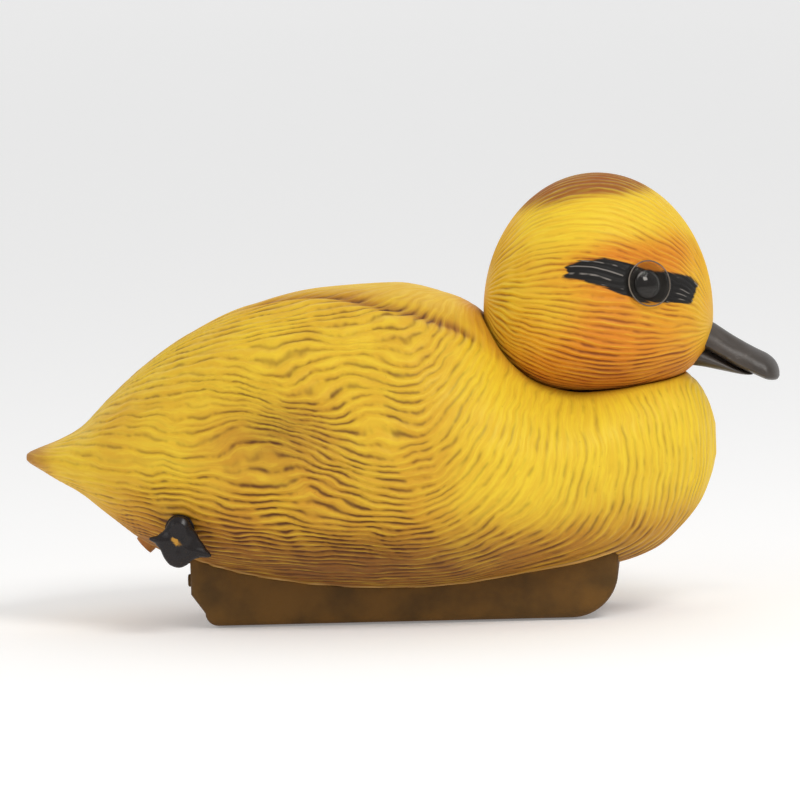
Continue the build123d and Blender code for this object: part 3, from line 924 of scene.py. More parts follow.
@dataclass
class Hull:
    """The floating body, carved all over with down."""

    form: HullForm
    head: HeadForm
    around: int = 456
    rings: int = 212
    stroke: float = 2.75 * MM
    widest_stroke: float = 25.0 * MM
    deepest: float = 0.62 * MM
    rim_round: float = 0.02
    fillet: float = 0.08
    neck_gap: float = 0.15 * MM
    recess_radius: float = 17.3 * MM
    recess_floor: float = 57.0 * MM
    wing_edge: tuple[tuple[float, float], ...] = (
        (-90.0, 0.0), (-48.0, 0.4), (-38.0, 3.4), (-18.0, 11.2), (0.5, 20.6), (13.0, 21.6), (24.0, 21.0),
    )
    knot: tuple[float, float] = (-31.0, 57.0)

    def _net(self) -> bmesh.types.BMesh:
        """The hull's plain net, with a dish that the head sits in."""

        def shape(share: np.ndarray, turn: np.ndarray) -> np.ndarray:
            """Places on the hull for a net's rings and turns."""
            along, scale = self.form.spacing(share)
            return self.form.points(along, scale, turn)

        bm = shaped_sphere(self.around, self.rings, shape)
        points = np.array([vert.co for vert in bm.verts])
        share = np.maximum(self.head.share(points, self.neck_gap), 1e-6)
        out = share - 1
        out = np.where(out > 0, out * (1 - np.exp(-np.maximum(out, 0) / self.fillet)), out)
        pushed = 1 + 0.5 * (out + np.sqrt(out**2 + self.rim_round**2))
        near = np.where(share < 1.5, pushed, share)
        centre = np.array(self.head.centre)
        points = centre + (points - centre) * (near / share)[:, None]
        away = np.hypot(points[:, 0] - centre[0], points[:, 1])
        floor = (away < self.recess_radius) & (points[:, 2] > self.recess_floor)
        points[floor, 2] = self.recess_floor
        for vert, place in zip(bm.verts, points):
            vert.co = place
        return bm

    def _direction(self, points: np.ndarray, normals: np.ndarray) -> np.ndarray:
        """The way the down lies at each place: down the breast, back along the flanks."""
        x, y, z = (points / MM).T
        tail = np.stack((-100.0 - x, -y, 44.0 - z), axis=1)
        to_tail = unit(tail) + np.array((-0.6, 0.0, 0.0)) * smooth_step(-80, -20, x)[:, None]
        flank = unit(to_tail)
        slant = smooth_step(-4.0, 26.0, x)[:, None]
        flank = unit(flank * (1 - slant) + np.array((-1.0, 0.0, -0.95)) * slant)
        down = np.stack(((x - self.head.centre[0] / MM) * 0.018, 0 * x, -np.ones_like(x)), axis=1)
        front = (smooth_step(28.0, 52.0, x) * smooth_step(-0.95, -0.45, normals[:, 2]))[:, None]
        lay = unit(flank * (1 - front) + unit(down) * front)
        return unit(lay - normals * np.einsum("ij,ij->i", lay, normals)[:, None])

    def _edge_distance(self, points: np.ndarray) -> np.ndarray:
        """Distance, in millimetres, sideways from the folded wings' edge on the back."""
        x, y, _ = (points / MM).T
        knots, values = zip(*self.wing_edge)
        return np.abs(y) - smooth_curve(knots, values, np.clip(x, knots[0], knots[-1]))

    def build(self) -> None:
        """Builds, carves and paints the body."""
        body = add_piece(
            "down_body", self._net(), BODY_PAINT.material(), Ride.HULL, ["body_shell"]
        )
        mesh = body.data
        comb = Comb(mesh)
        points, normals = comb.points, comb.normals
        x, y, z = (points / MM).T
        lay = self._direction(points, normals)
        mirror = np.ones_like(points)
        mirror[y > 0, 1] = -1
        folded = normals.copy()
        folded[:, 1] = -np.abs(normals[:, 1])
        across_way = np.cross(folded, lay * mirror) * mirror
        turned = smooth_step(2.0, 44.0, x)
        guess = (50.0 - z) * (1 - turned) + np.maximum(x - 44.0, 0.0) + 0.5 * np.clip(x - 2.0, 0.0, 42.0)
        across = comb.fit(across_way / self.stroke, guess * MM / self.stroke, 1600)
        along = comb.fit(lay / (10 * MM), -points[:, 0] / (10 * MM), 300)
        spacing = 1 / np.maximum(comb.steepness(across), 1 / self.widest_stroke)
        uneven = 1 + 0.22 * cloud(points, 20 * MM, 5.0)
        stretch = np.log(spacing / self.stroke * uneven) / math.log(PITCHES[2])
        fine = 0.40 * smooth_step(50, 30, z) * smooth_step(36, 6, x)
        pitch = np.clip(stretch + 0.05 + fine, 0, 1)
        warp_scale = np.array((1.0, 1.6, 1.6))
        warp = cloud(points * warp_scale, 15 * MM, 3.1) * 0.42
        warp = warp + cloud(points * warp_scale, 7.0 * MM, 9.7) * 0.24
        ruffle = smooth_step(26.0, -4.0, x) * smooth_step(-88, -62, x)
        knot_x, knot_z = self.knot
        dx, dz = x - knot_x, z - knot_z
        pinch = 1.1 * (dz / 9.0) * np.exp(-((dx / 17.0) ** 2) - (dz / 11.0) ** 2)
        wave = 0.42 * np.sin(dx / 6.3 + dz * 0.16) * bell(dz + 2, 17.0) * bell(dx - 9, 30.0)
        across = across + warp * (0.50 + 0.30 * ruffle) - (pinch + wave) * smooth_step(12, 0, x)
        rim = self.head.share(points, self.neck_gap)
        edge = self._edge_distance(points)
        on_back = smooth_step(0.15, 0.45, normals[:, 2])
        on_back = on_back * smooth_step(26.0, 16.0, x) * smooth_step(-98, -84, x)
        strength = 0.62 + 0.38 * cloud(points * warp_scale, 9 * MM, 14.2) + 0.25 * ruffle
        depth = np.clip(strength, 0.1, 1.0)
        depth *= smooth_step(1.02, 1.16, rim) * smooth_step(-100, -88, x)
        panel = smooth_step(2.0, -5.0, edge) * on_back
        depth *= 1 - 0.72 * panel
        carve(mesh, across, pitch, depth * (0.60 + 0.40 * ruffle), self.deepest)
        trench = bell(edge, 2.3) * on_back * smooth_step(-70, -30, x)
        lip = bell(edge - 5.0, 3.6) * on_back * smooth_step(-60, -20, x)
        moved = mesh_points(mesh)
        moved += mesh_normals(mesh) * ((0.35 * lip - 0.85 * trench) * MM)[:, None]
        move_points(mesh, moved)
        store_flow(mesh, along, across)
        over_keel = smooth_step(-57, -52, x) * smooth_step(60, 54, x)
        # Painted highlight: a pale line along the hull's lower edge above the keel's sides.
        seam_highlight_mask = bell(np.abs(y) - 20.9, 0.75) * smooth_step(21, 18, z) * over_keel
        store_colours(mesh, "carving", pitch, depth, 0.55 * seam_highlight_mask)
        self._paint(mesh, points, rim, edge, on_back)

    def _paint(
        self,
        mesh: bpy.types.Mesh,
        points: np.ndarray,
        rim: np.ndarray,
        edge: np.ndarray,
        on_back: np.ndarray,
    ) -> None:
        """Stores how brown and golden each place is, and the painted shade in the crease under the head.

        Args:
            mesh: the carved body.
            points: places before carving.
            rim: distance from the head as a share of its size.
            edge: distance from the wing edge, in millimetres.
            on_back: share of each place that lies on the back.
        """
        x, _, z = (points / MM).T
        drift = cloud(points, 22 * MM, 21.0)
        rear = smooth_step(44.0, 8.0, x)
        belly = smooth_step(34.0, 12.0, z)
        flank = np.exp(-(((x + 22) / 44) ** 2) - ((z - 38) / 19) ** 2)
        knot = np.exp(-(((x - self.knot[0]) / 15) ** 2) - ((z - self.knot[1] + 3) / 9) ** 2)
        line = bell(edge - 0.2, 2.0) * on_back
        line = line + 0.45 * bell(edge + 4.0, 5.0) * on_back * smooth_step(-55, -10, x)
        tip = smooth_step(-90, -99, x)
        rump = smooth_step(-20, -62, x) * smooth_step(44, 26, z)
        # The brown and gold low on the body are partly the real brown wash and partly painted shade, darker
        # towards the bottom.
        brown = 0.80 * belly * rear + 0.22 * flank + 0.34 * knot + 0.46 * line + 0.45 * tip + 0.16 * rump
        brown += 0.60 * smooth_step(36, 12, z) * (1 - rear) + 0.12 * drift * rear
        gold = 0.30 * rear + 0.34 * belly + 0.30 * flank + 0.30 * rump + 0.35 * tip + 0.30 * line
        gold += 0.46 * smooth_step(46, 20, z) * (1 - rear) + 0.22 * drift - 0.10 * (1 - rear)
        # Painted shade in the crease where the head sits in the hull's dish.
        under = smooth_step(1.07, 1.005, rim)
        crease_shade = under * (0.55 - 0.25 * smooth_step(60, 80, x))
        # Painted shade: gold and brown deepen the yellow in a band round the head, most under its front.
        gold += 0.55 * smooth_step(1.32, 1.06, rim) * (0.55 + 0.45 * smooth_step(50, 10, x))
        brown += 0.35 * smooth_step(1.22, 1.04, rim) * smooth_step(62, 20, x)
        store_colours(mesh, "paint", np.clip(brown, 0, 1), np.clip(gold, 0, 1), np.clip(crease_shade, 0, 1))


@dataclass
class Keel:
    """The ballast keel under the hull."""

    form: HullForm
    half_width: float = 20.0 * MM
    nose_radius: float = 12.5 * MM
    corner_radius: float = 3.4 * MM
    chamfer: float = 3.6 * MM
    edge_round: float = 2.0 * MM
    bury: float = 1.6 * MM
    steps: int = 36

    def _underside(self, x: np.ndarray) -> np.ndarray:
        """Height of the hull's skin above the keel's side."""
        low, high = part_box("body_shell")
        along = (x - low[0]) / (high[0] - low[0])
        turn = np.linspace(math.pi * 0.55, math.pi, 60)
        heights = []
        for share in along:
            ring = self.form.points(np.full_like(turn, share), np.ones_like(turn), turn)
            heights.append(np.interp(self.half_width, ring[::-1, 1], ring[::-1, 2]))
        return np.array(heights)

    def _outline(self, low: Vector, high: Vector) -> list[tuple[float, float]]:
        """The keel's side view, from its rear top round under the nose to its front top and back."""
        rear, nose, floor = low[0], high[0], low[2]
        points = []
        for k in range(7):
            turn = math.pi * (1.0 + 0.5 * k / 6)
            corner = self.corner_radius
            x = rear + self.chamfer + corner * (1 + math.cos(turn))
            points.append((x, floor + corner * (1 + math.sin(turn))))
        for k in range(17):
            turn = math.pi * (1.5 + 0.5 * k / 16)
            r = self.nose_radius
            points.append((nose - r + r * math.cos(turn), floor + r + r * math.sin(turn)))
        tops = np.linspace(nose, rear, self.steps)
        points += list(zip(tops, self._underside(tops) + self.bury))
        points.append((rear, floor + self.corner_radius + self.chamfer * 1.4))
        return points

    def build(self) -> None:
        """Builds the keel, with rounded edges."""
        low, high = (Vector(corner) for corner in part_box("keel_shell"))
        bm = bmesh.new()
        ring = [bm.verts.new((x, -self.half_width, z)) for x, z in self._outline(low, high)]
        side = bm.faces.new(ring)
        grown = bmesh.ops.extrude_face_region(bm, geom=[side])
        far = [item for item in grown["geom"] if isinstance(item, bmesh.types.BMVert)]
        bmesh.ops.translate(bm, verts=far, vec=(0, 2 * self.half_width, 0))
        rims = [
            edge for edge in bm.edges
            if len(edge.link_faces) == 2 and any(len(face.verts) > 4 for face in edge.link_faces)
        ]
        bmesh.ops.bevel(
            bm, geom=rims, offset=self.edge_round, segments=4, profile=0.5, affect="EDGES", material=-1,
            offset_type="OFFSET", clamp_overlap=True,
        )
        bmesh.ops.triangulate(bm, faces=[face for face in bm.faces if len(face.verts) > 4])
        add_piece("keel", bm, KEEL_PLASTIC.material(), Ride.HULL, ["keel_shell"])


@dataclass
class DrainPlug:
    """The plug that closes the drain hole under the tail."""

    def build(self) -> None:
        """Gives the plug its paint."""
        dress("drain_plug", PLUG_PAINT.material())


def dress(node: str, material: bpy.types.Material) -> None:
    """Gives a CAD node that stays in view its finish.

    Args:
        node: the node's name.
        material: the finish.
    """
    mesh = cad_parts[node].data
    if len(mesh.materials):
        for k in range(len(mesh.materials)):
            mesh.materials[k] = material
    else:
        mesh.materials.append(material)


@dataclass
class InnerPieces:
    """Pieces that keep their CAD shape: the neck joint, washers, weight, line peg and legs."""

    def build(self) -> None:
        """Gives each piece its finish."""
        finishes = {
            GREY_ACETAL: ("neck_socket", "neck_spigot"),
            FELT: ("neck_washer",),
            SEAL_RUBBER: ("neck_seal", "eye_washer_left", "eye_washer_right"),
            SPRING_STEEL: ("neck_snap_ring",),
            CAST_IRON: ("keel_weight",),
            KEEL_PLASTIC: ("line_peg",),
            FOOT_PAINT: ("leg_left", "leg_right"),
        }
        for finish, nodes in finishes.items():
            material = finish.material()
            for node in nodes:
                dress(node, material)
            LOG.info("%s on %d nodes", finish.name, len(nodes))


@dataclass
class Foot:
    """A small webbed foot that swings on its leg."""

    side: Side
    outline: tuple[tuple[float, float], ...] = (
        (3.0, 1.6), (2.3, 2.8), (0.9, 3.6), (-0.7, 3.6), (-2.1, 2.8), (-3.0, 1.5), (-3.9, 0.1),
        (-5.6, -1.2), (-8.0, -2.1), (-6.4, -3.3), (-4.9, -5.4), (-3.9, -7.6), (-2.5, -9.2),
        (-0.4, -9.9), (1.6, -9.3),
        (3.2, -8.0), (5.4, -7.3), (8.2, -7.1), (6.9, -4.9), (5.0, -1.8), (3.7, 0.3),
    )
    hub: tuple[float, float] = (0.0, -3.4)
    chip: tuple[float, float] = (-0.9, -2.5)
    toes: tuple[float, ...] = (-35.0, -93.0, 172.0)

    def _radius(self, angle: np.ndarray) -> np.ndarray:
        """Reach of the foot's edge from its hub, by angle."""
        places = np.array(self.outline) - np.array(self.hub)
        turns = np.arctan2(places[:, 1], places[:, 0])
        reach = np.hypot(places[:, 0], places[:, 1])
        order = np.argsort(turns)
        turns, reach = turns[order], reach[order]
        knots = np.concatenate((turns[-2:] - 2 * math.pi, turns, turns[:2] + 2 * math.pi))
        values = np.concatenate((reach[-2:], reach, reach[:2]))
        return smooth_curve(knots, values, angle)

    def build(self) -> None:
        """Builds the foot and its pin."""
        low, high = (np.array(corner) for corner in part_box(f"foot_{self.side.word}"))
        pin_low, pin_high = (np.array(corner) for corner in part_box(f"foot_pin_{self.side.word}"))
        ankle = 0.5 * (pin_low + pin_high)
        out = self.side.value
        inner, outer = (low[1], high[1]) if out > 0 else (high[1], low[1])
        middle = 0.5 * (inner + outer)
        half = 0.5 * abs(outer - inner)

        def shape(share: np.ndarray, turn: np.ndarray) -> np.ndarray:
            """Places on the foot for a net's rings and turns."""
            spread = np.sin(share * math.pi) ** 0.75
            reach = self._radius(turn) * spread
            x = self.hub[0] + reach * np.cos(turn)
            z = self.hub[1] + reach * np.sin(turn)
            ridge = np.zeros_like(turn)
            for toe in self.toes:
                apart = np.angle(np.exp(1j * (turn - math.radians(toe))))
                ridge += bell(apart, 0.30) * smooth_step(0.1, 0.6, spread)
            knob = bell(np.hypot(x, z), 2.8)
            thick = np.cos(share * math.pi)
            rise = np.where(thick > 0, 1.35 + 0.35 * ridge + 0.9 * knob, 0.9)
            y = middle + out * half * thick * rise
            return np.stack((ankle[0] + x * MM, y, ankle[2] + z * MM), axis=1)

        bm = shaped_sphere(160, 48, shape)
        ride = Ride[f"{self.side.name}_FOOT"]
        foot = add_piece(f"web_foot_{self.side.word}", bm, FOOT_PAINT.material(), ride,
                         [f"foot_{self.side.word}"])
        x, _, z = ((mesh_points(foot.data) - ankle) / MM).T
        from_chip = np.hypot(x - self.chip[0], z - self.chip[1])
        around = np.arctan2(z - self.chip[1], x - self.chip[0])
        ragged = 0.28 * np.sin(2 * around + 0.6) + 0.16 * np.sin(3 * around + 1.9)
        chip = smooth_step(1.15, 0.80, from_chip + ragged)
        foot.data.attributes.new("chip", "FLOAT", "POINT").data.foreach_set("value", chip)
        dress(f"foot_pin_{self.side.word}", FOOT_PAINT.material())


# ---------------------------------------------------------------- head pieces


@dataclass
class Head:
    """The round head with its eye stripes."""

    form: HeadForm
    around: int = 400
    rings: int = 190
    stroke: float = 3.1 * MM
    deepest: float = 0.52 * MM
    flat_height: float = 59.7 * MM
    tip_down: float = 9.0
    seat_radius: float = 6.15 * MM
    seat_depth: float = 0.96 * MM
    stripe: tuple[tuple[float, float], ...] = (
        (44.6, 93.2), (48.5, 94.6), (55.1, 95.3), (62.6, 93.2), (66.4, 92.0), (71.0, 91.0),
        (77.4, 88.9), (79.4, 86.6), (77.4, 81.8), (72.5, 82.6), (64.1, 83.7), (58.5, 85.9),
        (54.9, 87.8), (49.6, 89.6), (43.8, 90.4), (45.4, 91.6),
    )

    def _stripe_distance(self, x: np.ndarray, z: np.ndarray) -> np.ndarray:
        """How far inside the eye stripe places are, in millimetres, negative outside."""
        nearest = np.full(len(x), 1e9)
        inside = np.zeros(len(x), dtype=bool)
        for (x0, z0), (x1, z1) in zip(self.stripe, self.stripe[1:] + self.stripe[:1]):
            run, rise = x1 - x0, z1 - z0
            t = np.clip(((x - x0) * run + (z - z0) * rise) / (run**2 + rise**2), 0, 1)
            nearest = np.minimum(nearest, np.hypot(x - x0 - t * run, z - z0 - t * rise))
            crosses = ((z0 > z) != (z1 > z)) & (x < x0 + (z - z0) * run / (rise if rise else 1e-9))
            inside ^= crosses
        return np.where(inside, nearest, -nearest)

    def build(self) -> None:
        """Builds, carves and paints the head."""
        tip = math.radians(self.tip_down)

        def shape(share: np.ndarray, turn: np.ndarray) -> np.ndarray:
            """Places on the head for a net's rings and turns."""
            forward = -np.cos(share * math.pi)
            radial = np.sin(share * math.pi)
            right = np.sin(turn) * radial
            up = np.cos(turn) * radial
            ahead = forward * math.cos(tip) + up * math.sin(tip)
            above = up * math.cos(tip) - forward * math.sin(tip)
            directions = np.stack((ahead, right, above), axis=1)
            return self.form.on_surface(directions)

        head = add_piece("down_head", shaped_sphere(self.around, self.rings, shape), HEAD_PAINT.material(),
                         Ride.HEAD, ["head_shell"])
        mesh = head.data
        points = mesh_points(mesh)
        x, y, z = (points / MM).T
        away = points - np.array(self.form.centre)
        forward = away[:, 0] * math.cos(tip) - away[:, 2] * math.sin(tip)
        up = away[:, 0] * math.sin(tip) + away[:, 2] * math.cos(tip)
        ring = np.hypot(up, away[:, 1])
        angle = np.abs(np.arctan2(away[:, 1], up))
        total = math.pi * 1.04 * self.form.radius
        warp_scale = np.array((0.55, 1.3, 1.3))
        warp = cloud(points * warp_scale, 12 * MM, 31.0) * 0.45
        warp = warp + cloud(points * warp_scale, 5.0 * MM, 37.0) * 0.20
        across = angle / math.pi * total / self.stroke + warp
        along = forward / (10 * MM)
        share = ring / self.form.radius
        pitch = 0.5 * smooth_step(0.58, 0.86, share + 0.16 * cloud(points, 12 * MM, 41.0))
        depth = np.clip(0.66 + 0.34 * cloud(points * warp_scale, 8 * MM, 44.0), 0.15, 1.0)
        depth *= smooth_step(0.22, 0.62, share) * (0.55 + 0.45 * smooth_step(104, 92, z))
        seat = np.zeros(len(points))
        for side in Side:
            centre, facing = self.form.eye_frame(side)
            apart = points - np.array(centre)
            high = apart @ np.array(facing)
            off = np.linalg.norm(apart - high[:, None] * np.array(facing), axis=1)
            near = (off < self.seat_radius * 1.6) & (high > -6 * MM)
            plain = smooth_step(self.seat_radius * 1.3, self.seat_radius, off)
            seat = np.maximum(seat, np.where(near, plain, 0))
        depth *= 1 - seat
        carve(mesh, across, pitch, depth, self.deepest)
        moved = mesh_points(mesh)
        for side in Side:
            centre, facing = self.form.eye_frame(side)
            facing = np.array(facing)
            apart = moved - np.array(centre)
            high = apart @ facing
            off = np.linalg.norm(apart - high[:, None] * facing, axis=1)
            inside = (off < self.seat_radius) & (high > -6 * MM)
            moved[inside] -= facing * (high[inside] + self.seat_depth)[:, None]
        moved[:, 2] = np.maximum(moved[:, 2], self.flat_height)
        move_points(mesh, moved)
        store_flow(mesh, along, across)
        store_colours(mesh, "carving", pitch, depth)
        self._paint(mesh, x, y, z)

    def _paint(self, mesh: bpy.types.Mesh, x: np.ndarray, y: np.ndarray, z: np.ndarray) -> None:
        """Stores the head's colours: orange face, brown crown, the black stripes and painted shade on its
        underside.

        Args:
            mesh: the carved head.
            x: places along the head, in millimetres.
            y: places across it.
            z: heights.
        """
        points = np.stack((x, y, z), axis=1)
        drift = cloud(points, 14.0, 51.0)
        crown = smooth_step(-3.0, 3.0, z - (109.0 + 0.10 * (x - 52)) + 2.0 * drift)
        crown = crown * smooth_step(19, 12, np.abs(y))
        nape = smooth_step(34.0, 25.0, x + 0.22 * (z - 80)) * smooth_step(84, 100, z)
        eye = np.exp(-(((x - 62) / 18) ** 2) - ((z - 94) / 8.5) ** 2)
        cheek = np.exp(-(((x - 58) / 22) ** 2) - ((z - 73) / 9) ** 2)
        lower = smooth_step(74, 60, z)
        front = smooth_step(72, 80, x) * smooth_step(80, 96, z)
        gold = 0.28 + 0.80 * eye + 0.66 * cheek + 0.45 * lower + 0.18 * drift - 0.22 * front
        gold -= 0.40 * np.exp(-(((z - 105) / 6) ** 2)) * smooth_step(30, 40, x)
        brown = 0.85 * np.clip(crown, 0, 1) + 0.55 * nape + 0.10 * eye + 0.10 * cheek + 0.50 * lower
        brown += 0.25 * smooth_step(38, 24, x) * smooth_step(96, 70, z)
        # The third channel is painted shade on the head's underside, where it sits down in the hull's dish.
        store_colours(mesh, "paint", np.clip(brown, 0, 1), np.clip(gold, 0, 1),
                      0.35 * smooth_step(64, 60, z))
        stripe = np.where(np.abs(y) > 8, self._stripe_distance(x, z), -9.0)
        mesh.attributes.new("stripe", "FLOAT", "POINT").data.foreach_set("value", np.clip(stripe / 2, -1, 1))


@dataclass
class Eye:
    """A glass eye: a black pupil under a clear dome, with a painted highlight ring at the dome's edge."""

    side: Side
    form: HeadForm
    lens_radius: float = 6.0 * MM
    lens_dome: float = 2.3 * MM
    rim_wire: float = 0.17 * MM
    lens_edge: float = 1.55 * MM
    pupil_radius: float = 3.75 * MM
    pupil_thick: float = 1.7 * MM
    pupil_skirt: float = 0.3 * MM
    pupil_lift: float = 0.32 * MM
    lens_lift: float = 0.02 * MM
    seat_depth: float = 0.96 * MM

    def build(self) -> None:
        """Builds the pupil, the lens over it and a pale ring that paints the highlight at the lens edge."""
        centre, facing = self.form.eye_frame(self.side)
        seat = centre - facing * self.seat_depth
        button = cap_profile(self.pupil_radius, self.pupil_thick, self.pupil_skirt, 16)
        pupil = turned_profile(button, PUPIL_STEPS, seat + facing * self.pupil_lift, facing)
        add_piece(f"pupil_{self.side.word}", pupil, PUPIL_GLOSS.material(), Ride.HEAD,
                  [f"eye_pupil_{self.side.word}"])
        lens = turned_profile(
            cap_profile(self.lens_radius, self.lens_dome, self.lens_edge, 24), EYE_STEPS,
            seat + facing * (self.lens_edge + self.lens_lift), facing,
        )
        add_piece(f"lens_{self.side.word}", lens, ClearLens().material(), Ride.HEAD,
                  [f"eye_lens_{self.side.word}"])
        # Painted highlight: a thin pale glossy ring stands in for light caught in the lens edge.
        middle = seat + facing * self.lens_edge
        rim = ring_of_wire(self.lens_radius - 0.25 * self.rim_wire, self.rim_wire, middle, facing)
        add_piece(f"lens_rim_{self.side.word}", rim, LENS_EDGE_HIGHLIGHT.material(), Ride.HEAD)


@dataclass
class Bill:
    """The bill's two halves, parted by a slim wedge at the gape."""

    root: float = 75.0
    tip: float = 100.0
    lower_tip: float = 93.0
    tip_round: float = 3.8
    saddle: tuple[float, float, float] = (86.5, 3.0, 0.45)
    ridge: tuple[tuple[float, float], ...] = (
        (75.0, 79.8), (79.0, 77.6), (82.9, 75.3), (88.0, 71.8), (93.5, 68.5), (97.6, 66.4), (99.4, 65.4),
        (100.0, 64.4),
    )
    lip: tuple[tuple[float, float], ...] = (
        (75.0, 71.4), (79.0, 69.4), (82.0, 67.7), (85.5, 65.6), (89.5, 63.1), (93.0, 61.6), (97.4, 59.8),
        (99.2, 59.6), (100.0, 60.2),
    )
    width: tuple[tuple[float, float], ...] = (
        (75.0, 6.6), (79.0, 6.5), (84.0, 6.1), (89.0, 6.2), (94.0, 7.0), (97.0, 7.3), (100.0, 7.2),
    )
    chin: tuple[tuple[float, float], ...] = (
        (75.0, 64.4), (79.0, 63.9), (83.6, 62.9), (89.0, 61.7), (92.0, 61.2), (93.0, 61.1),
    )

    def _half(
        self, name: str, end: float, top: tuple, bottom: tuple, edge_share: float, drop: float, narrow: float
    ) -> bmesh.types.BMesh:
        """One half of the bill.

        Args:
            name: the half's name, for the log.
            end: where it ends, in millimetres.
            top: its ridge line.
            bottom: its lower line.
            edge_share: height of its widest line between the lines.
            drop: how far its top line lies under the line given.
            narrow: how much narrower than the bill it is.

        Returns:
            The half's net.
        """
        LOG.info("%s ends at %.1f mm", name, end)

        def shape(share: np.ndarray, turn: np.ndarray) -> np.ndarray:
            """Places on the half for a net's rings and turns."""
            x = self.root + (end - self.root) * (0.5 - 0.5 * np.cos(share * math.pi))
            high = smooth_curve(*zip(*top), x) - drop
            low = smooth_curve(*zip(*bottom), x)
            half = smooth_curve(*zip(*self.width), x) - narrow
            nose = np.clip((x - end + self.tip_round) / self.tip_round, 0, 1)
            close = np.sqrt(np.clip(1 - nose**2, 0, 1))
            close = close * np.sqrt(np.clip((x - self.root) / 1.0, 0, 1))
            edge = low + (high - low) * edge_share
            up = np.cos(turn)
            flat = np.sign(np.sin(turn)) * np.abs(np.sin(turn)) ** 0.86
            peak = 1 - 0.10 * smooth_step(0.0, 0.8, np.abs(flat)) * (up > 0)
            thick = close**0.55
            z = edge + np.where(up > 0, (high - edge) * up * peak, (edge - low) * up) * thick
            saddle_x, saddle_run, saddle_depth = self.saddle
            saddle = bell((x - saddle_x) / saddle_run, 1.0) * bell(np.abs(flat) - 0.62, 0.22) * (up > 0)
            z = z - saddle_depth * saddle
            return np.stack((x, half * flat * close, z), axis=1) * MM

        return shaped_sphere(128, 120, shape)

    def build(self) -> None:
        """Builds both halves."""
        material = BLACK_MOULDING.material()
        upper = self._half("upper bill", self.tip, self.ridge, self.lip, 0.20, 0.0, 0.0)
        add_piece("bill_top", upper, material, Ride.HEAD, ["bill_upper"])
        lower = self._half("lower bill", self.lower_tip, self.lip, self.chin, 0.42, -0.3, 0.9)
        add_piece("bill_bottom", lower, material, Ride.HEAD, ["bill_lower"])


# ---------------------------------------------------------------- studio


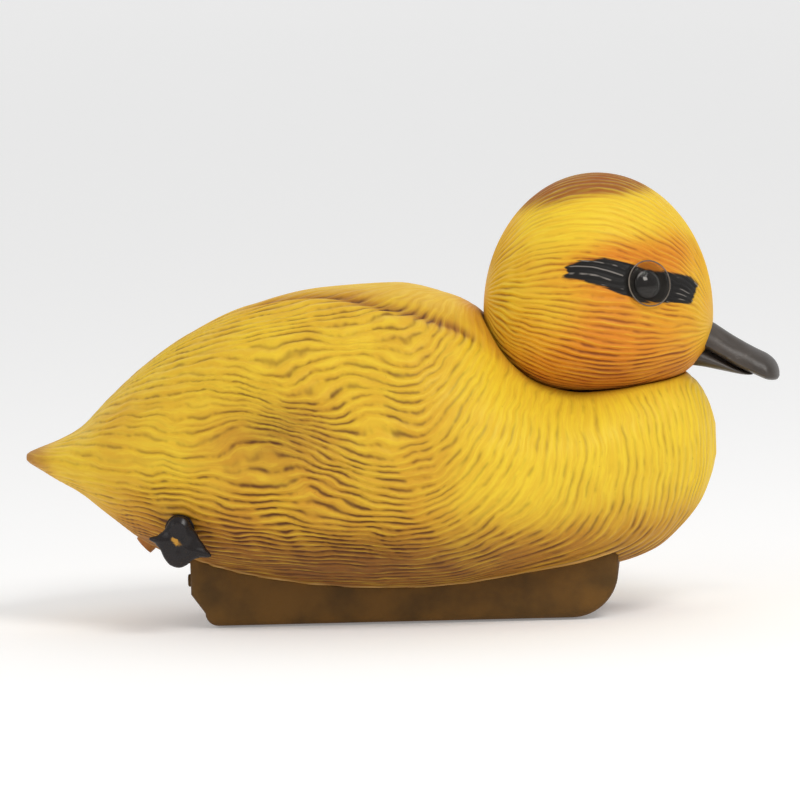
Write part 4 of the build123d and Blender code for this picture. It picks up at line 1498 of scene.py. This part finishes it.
@dataclass
class Studio:
    """Pale floor, soft lamps and the camera."""

    distance: float = 2.0
    lens: float = 340.0
    azimuth: float = 2.65
    elevation: float = 5.5
    roll: float = 1.7
    aim: tuple[float, float, float] = (-0.0005, 0.0, 0.0568)
    floor_reach: float = 9.0
    floor_drop: float = 0.5 * MM
    floor_glow: float = 0.20
    wall_distance: float = 8.0
    wall_reach: float = 16.0
    daylight: float = 0.53

    def _lamp(
        self, name: str, place: Vector, size: float, power: float, tint: tuple[float, float, float]
    ) -> None:
        """Hangs a square soft lamp that faces the duck."""
        light = bpy.data.lights.new(name, "AREA")
        light.size = size
        light.energy = power
        light.color = tint
        lamp = bpy.data.objects.new(name, light)
        lamp.location = place
        lamp.rotation_euler = (Vector(self.aim) - place).to_track_quat("-Z", "Y").to_euler()
        bpy.context.scene.collection.objects.link(lamp)

    def _backdrop(self) -> None:
        """Stands an evenly glowing white wall far behind the duck."""
        bm = bmesh.new()
        bmesh.ops.create_grid(bm, x_segments=1, y_segments=1, size=self.wall_reach)
        upright = Matrix.Rotation(math.radians(90), 4, "X")
        stand = Matrix.Translation((0, self.wall_distance, 0)) @ upright
        bmesh.ops.transform(bm, matrix=stand, verts=bm.verts)
        mesh = bpy.data.meshes.new("backdrop")
        bm.to_mesh(mesh)
        bm.free()
        s = Shader("backdrop_glow")
        mesh.materials.append(s.surface(s.node("ShaderNodeEmission", None, {"Strength": 1.0})))
        wall = bpy.data.objects.new("backdrop", mesh)
        bpy.context.scene.collection.objects.link(wall)

    def build(self) -> None:
        """Sets out the floor, lamps and camera."""
        bm = bmesh.new()
        bmesh.ops.create_grid(bm, x_segments=8, y_segments=8, size=self.floor_reach)
        mesh = bpy.data.meshes.new("floor")
        bm.to_mesh(mesh)
        bm.free()
        floor = bpy.data.objects.new("floor", mesh)
        floor.location.z = -self.floor_drop
        bpy.context.scene.collection.objects.link(floor)
        s = Shader("paper")
        fleck = s.mix(s.noise(s.place(), 200.0, 3.0), (0.86, 0.86, 0.86, 1.0), (0.84, 0.84, 0.84, 1.0))
        mesh.materials.append(s.surface(s.principled({
            "Base Color": fleck, "Roughness": 0.9, "Emission Color": (1.0, 1.0, 1.0, 1.0),
            "Emission Strength": self.floor_glow,
        })))
        self._backdrop()
        world = bpy.data.worlds.new("studio")
        world.use_nodes = True
        world.node_tree.nodes["Background"].inputs["Color"].default_value = (1.0, 1.0, 1.0, 1.0)
        world.node_tree.nodes["Background"].inputs["Strength"].default_value = self.daylight
        bpy.context.scene.world = world
        self._lamp("key", Vector((0.42, -0.62, 0.85)), 0.40, 5.1, (1.0, 0.98, 0.95))
        self._lamp("fill", Vector((-0.75, -0.55, 0.45)), 0.5, 1.0, (1.0, 1.0, 1.0))
        bpy.context.scene.view_settings.view_transform = "Standard"
        camera = bpy.data.cameras.new("camera")
        camera.lens = self.lens
        camera.sensor_width = 36.0
        camera.clip_start = 0.01
        camera.clip_end = 20.0
        holder = bpy.data.objects.new("camera", camera)
        rise = math.radians(self.elevation)
        aim = Vector(self.aim)
        swing = math.radians(self.azimuth)
        level = math.cos(rise)
        away = Vector((math.sin(swing) * level, -math.cos(swing) * level, math.sin(rise)))
        holder.location = aim + away * self.distance
        turn = (aim - holder.location).to_track_quat("-Z", "Y").to_matrix().to_4x4()
        turn = turn @ Matrix.Rotation(math.radians(-self.roll), 4, "Z")
        holder.rotation_euler = turn.to_euler()
        bpy.context.scene.collection.objects.link(holder)
        bpy.context.scene.camera = holder


def main() -> None:
    """Builds every piece of the decoy and the studio round it."""
    hull = HullForm()
    head = HeadForm.from_frame()
    works = [
        Hull(hull, head), Keel(hull), DrainPlug(), InnerPieces(), Foot(Side.RIGHT), Foot(Side.LEFT),
        Head(head), Eye(Side.RIGHT, head), Eye(Side.LEFT, head), Bill(), Studio(),
    ]
    for work in works:
        LOG.info("building %s", type(work).__name__)
        work.build()


if __name__ == "__main__":
    logging.basicConfig(level=logging.INFO, format="%(message)s")
    main()
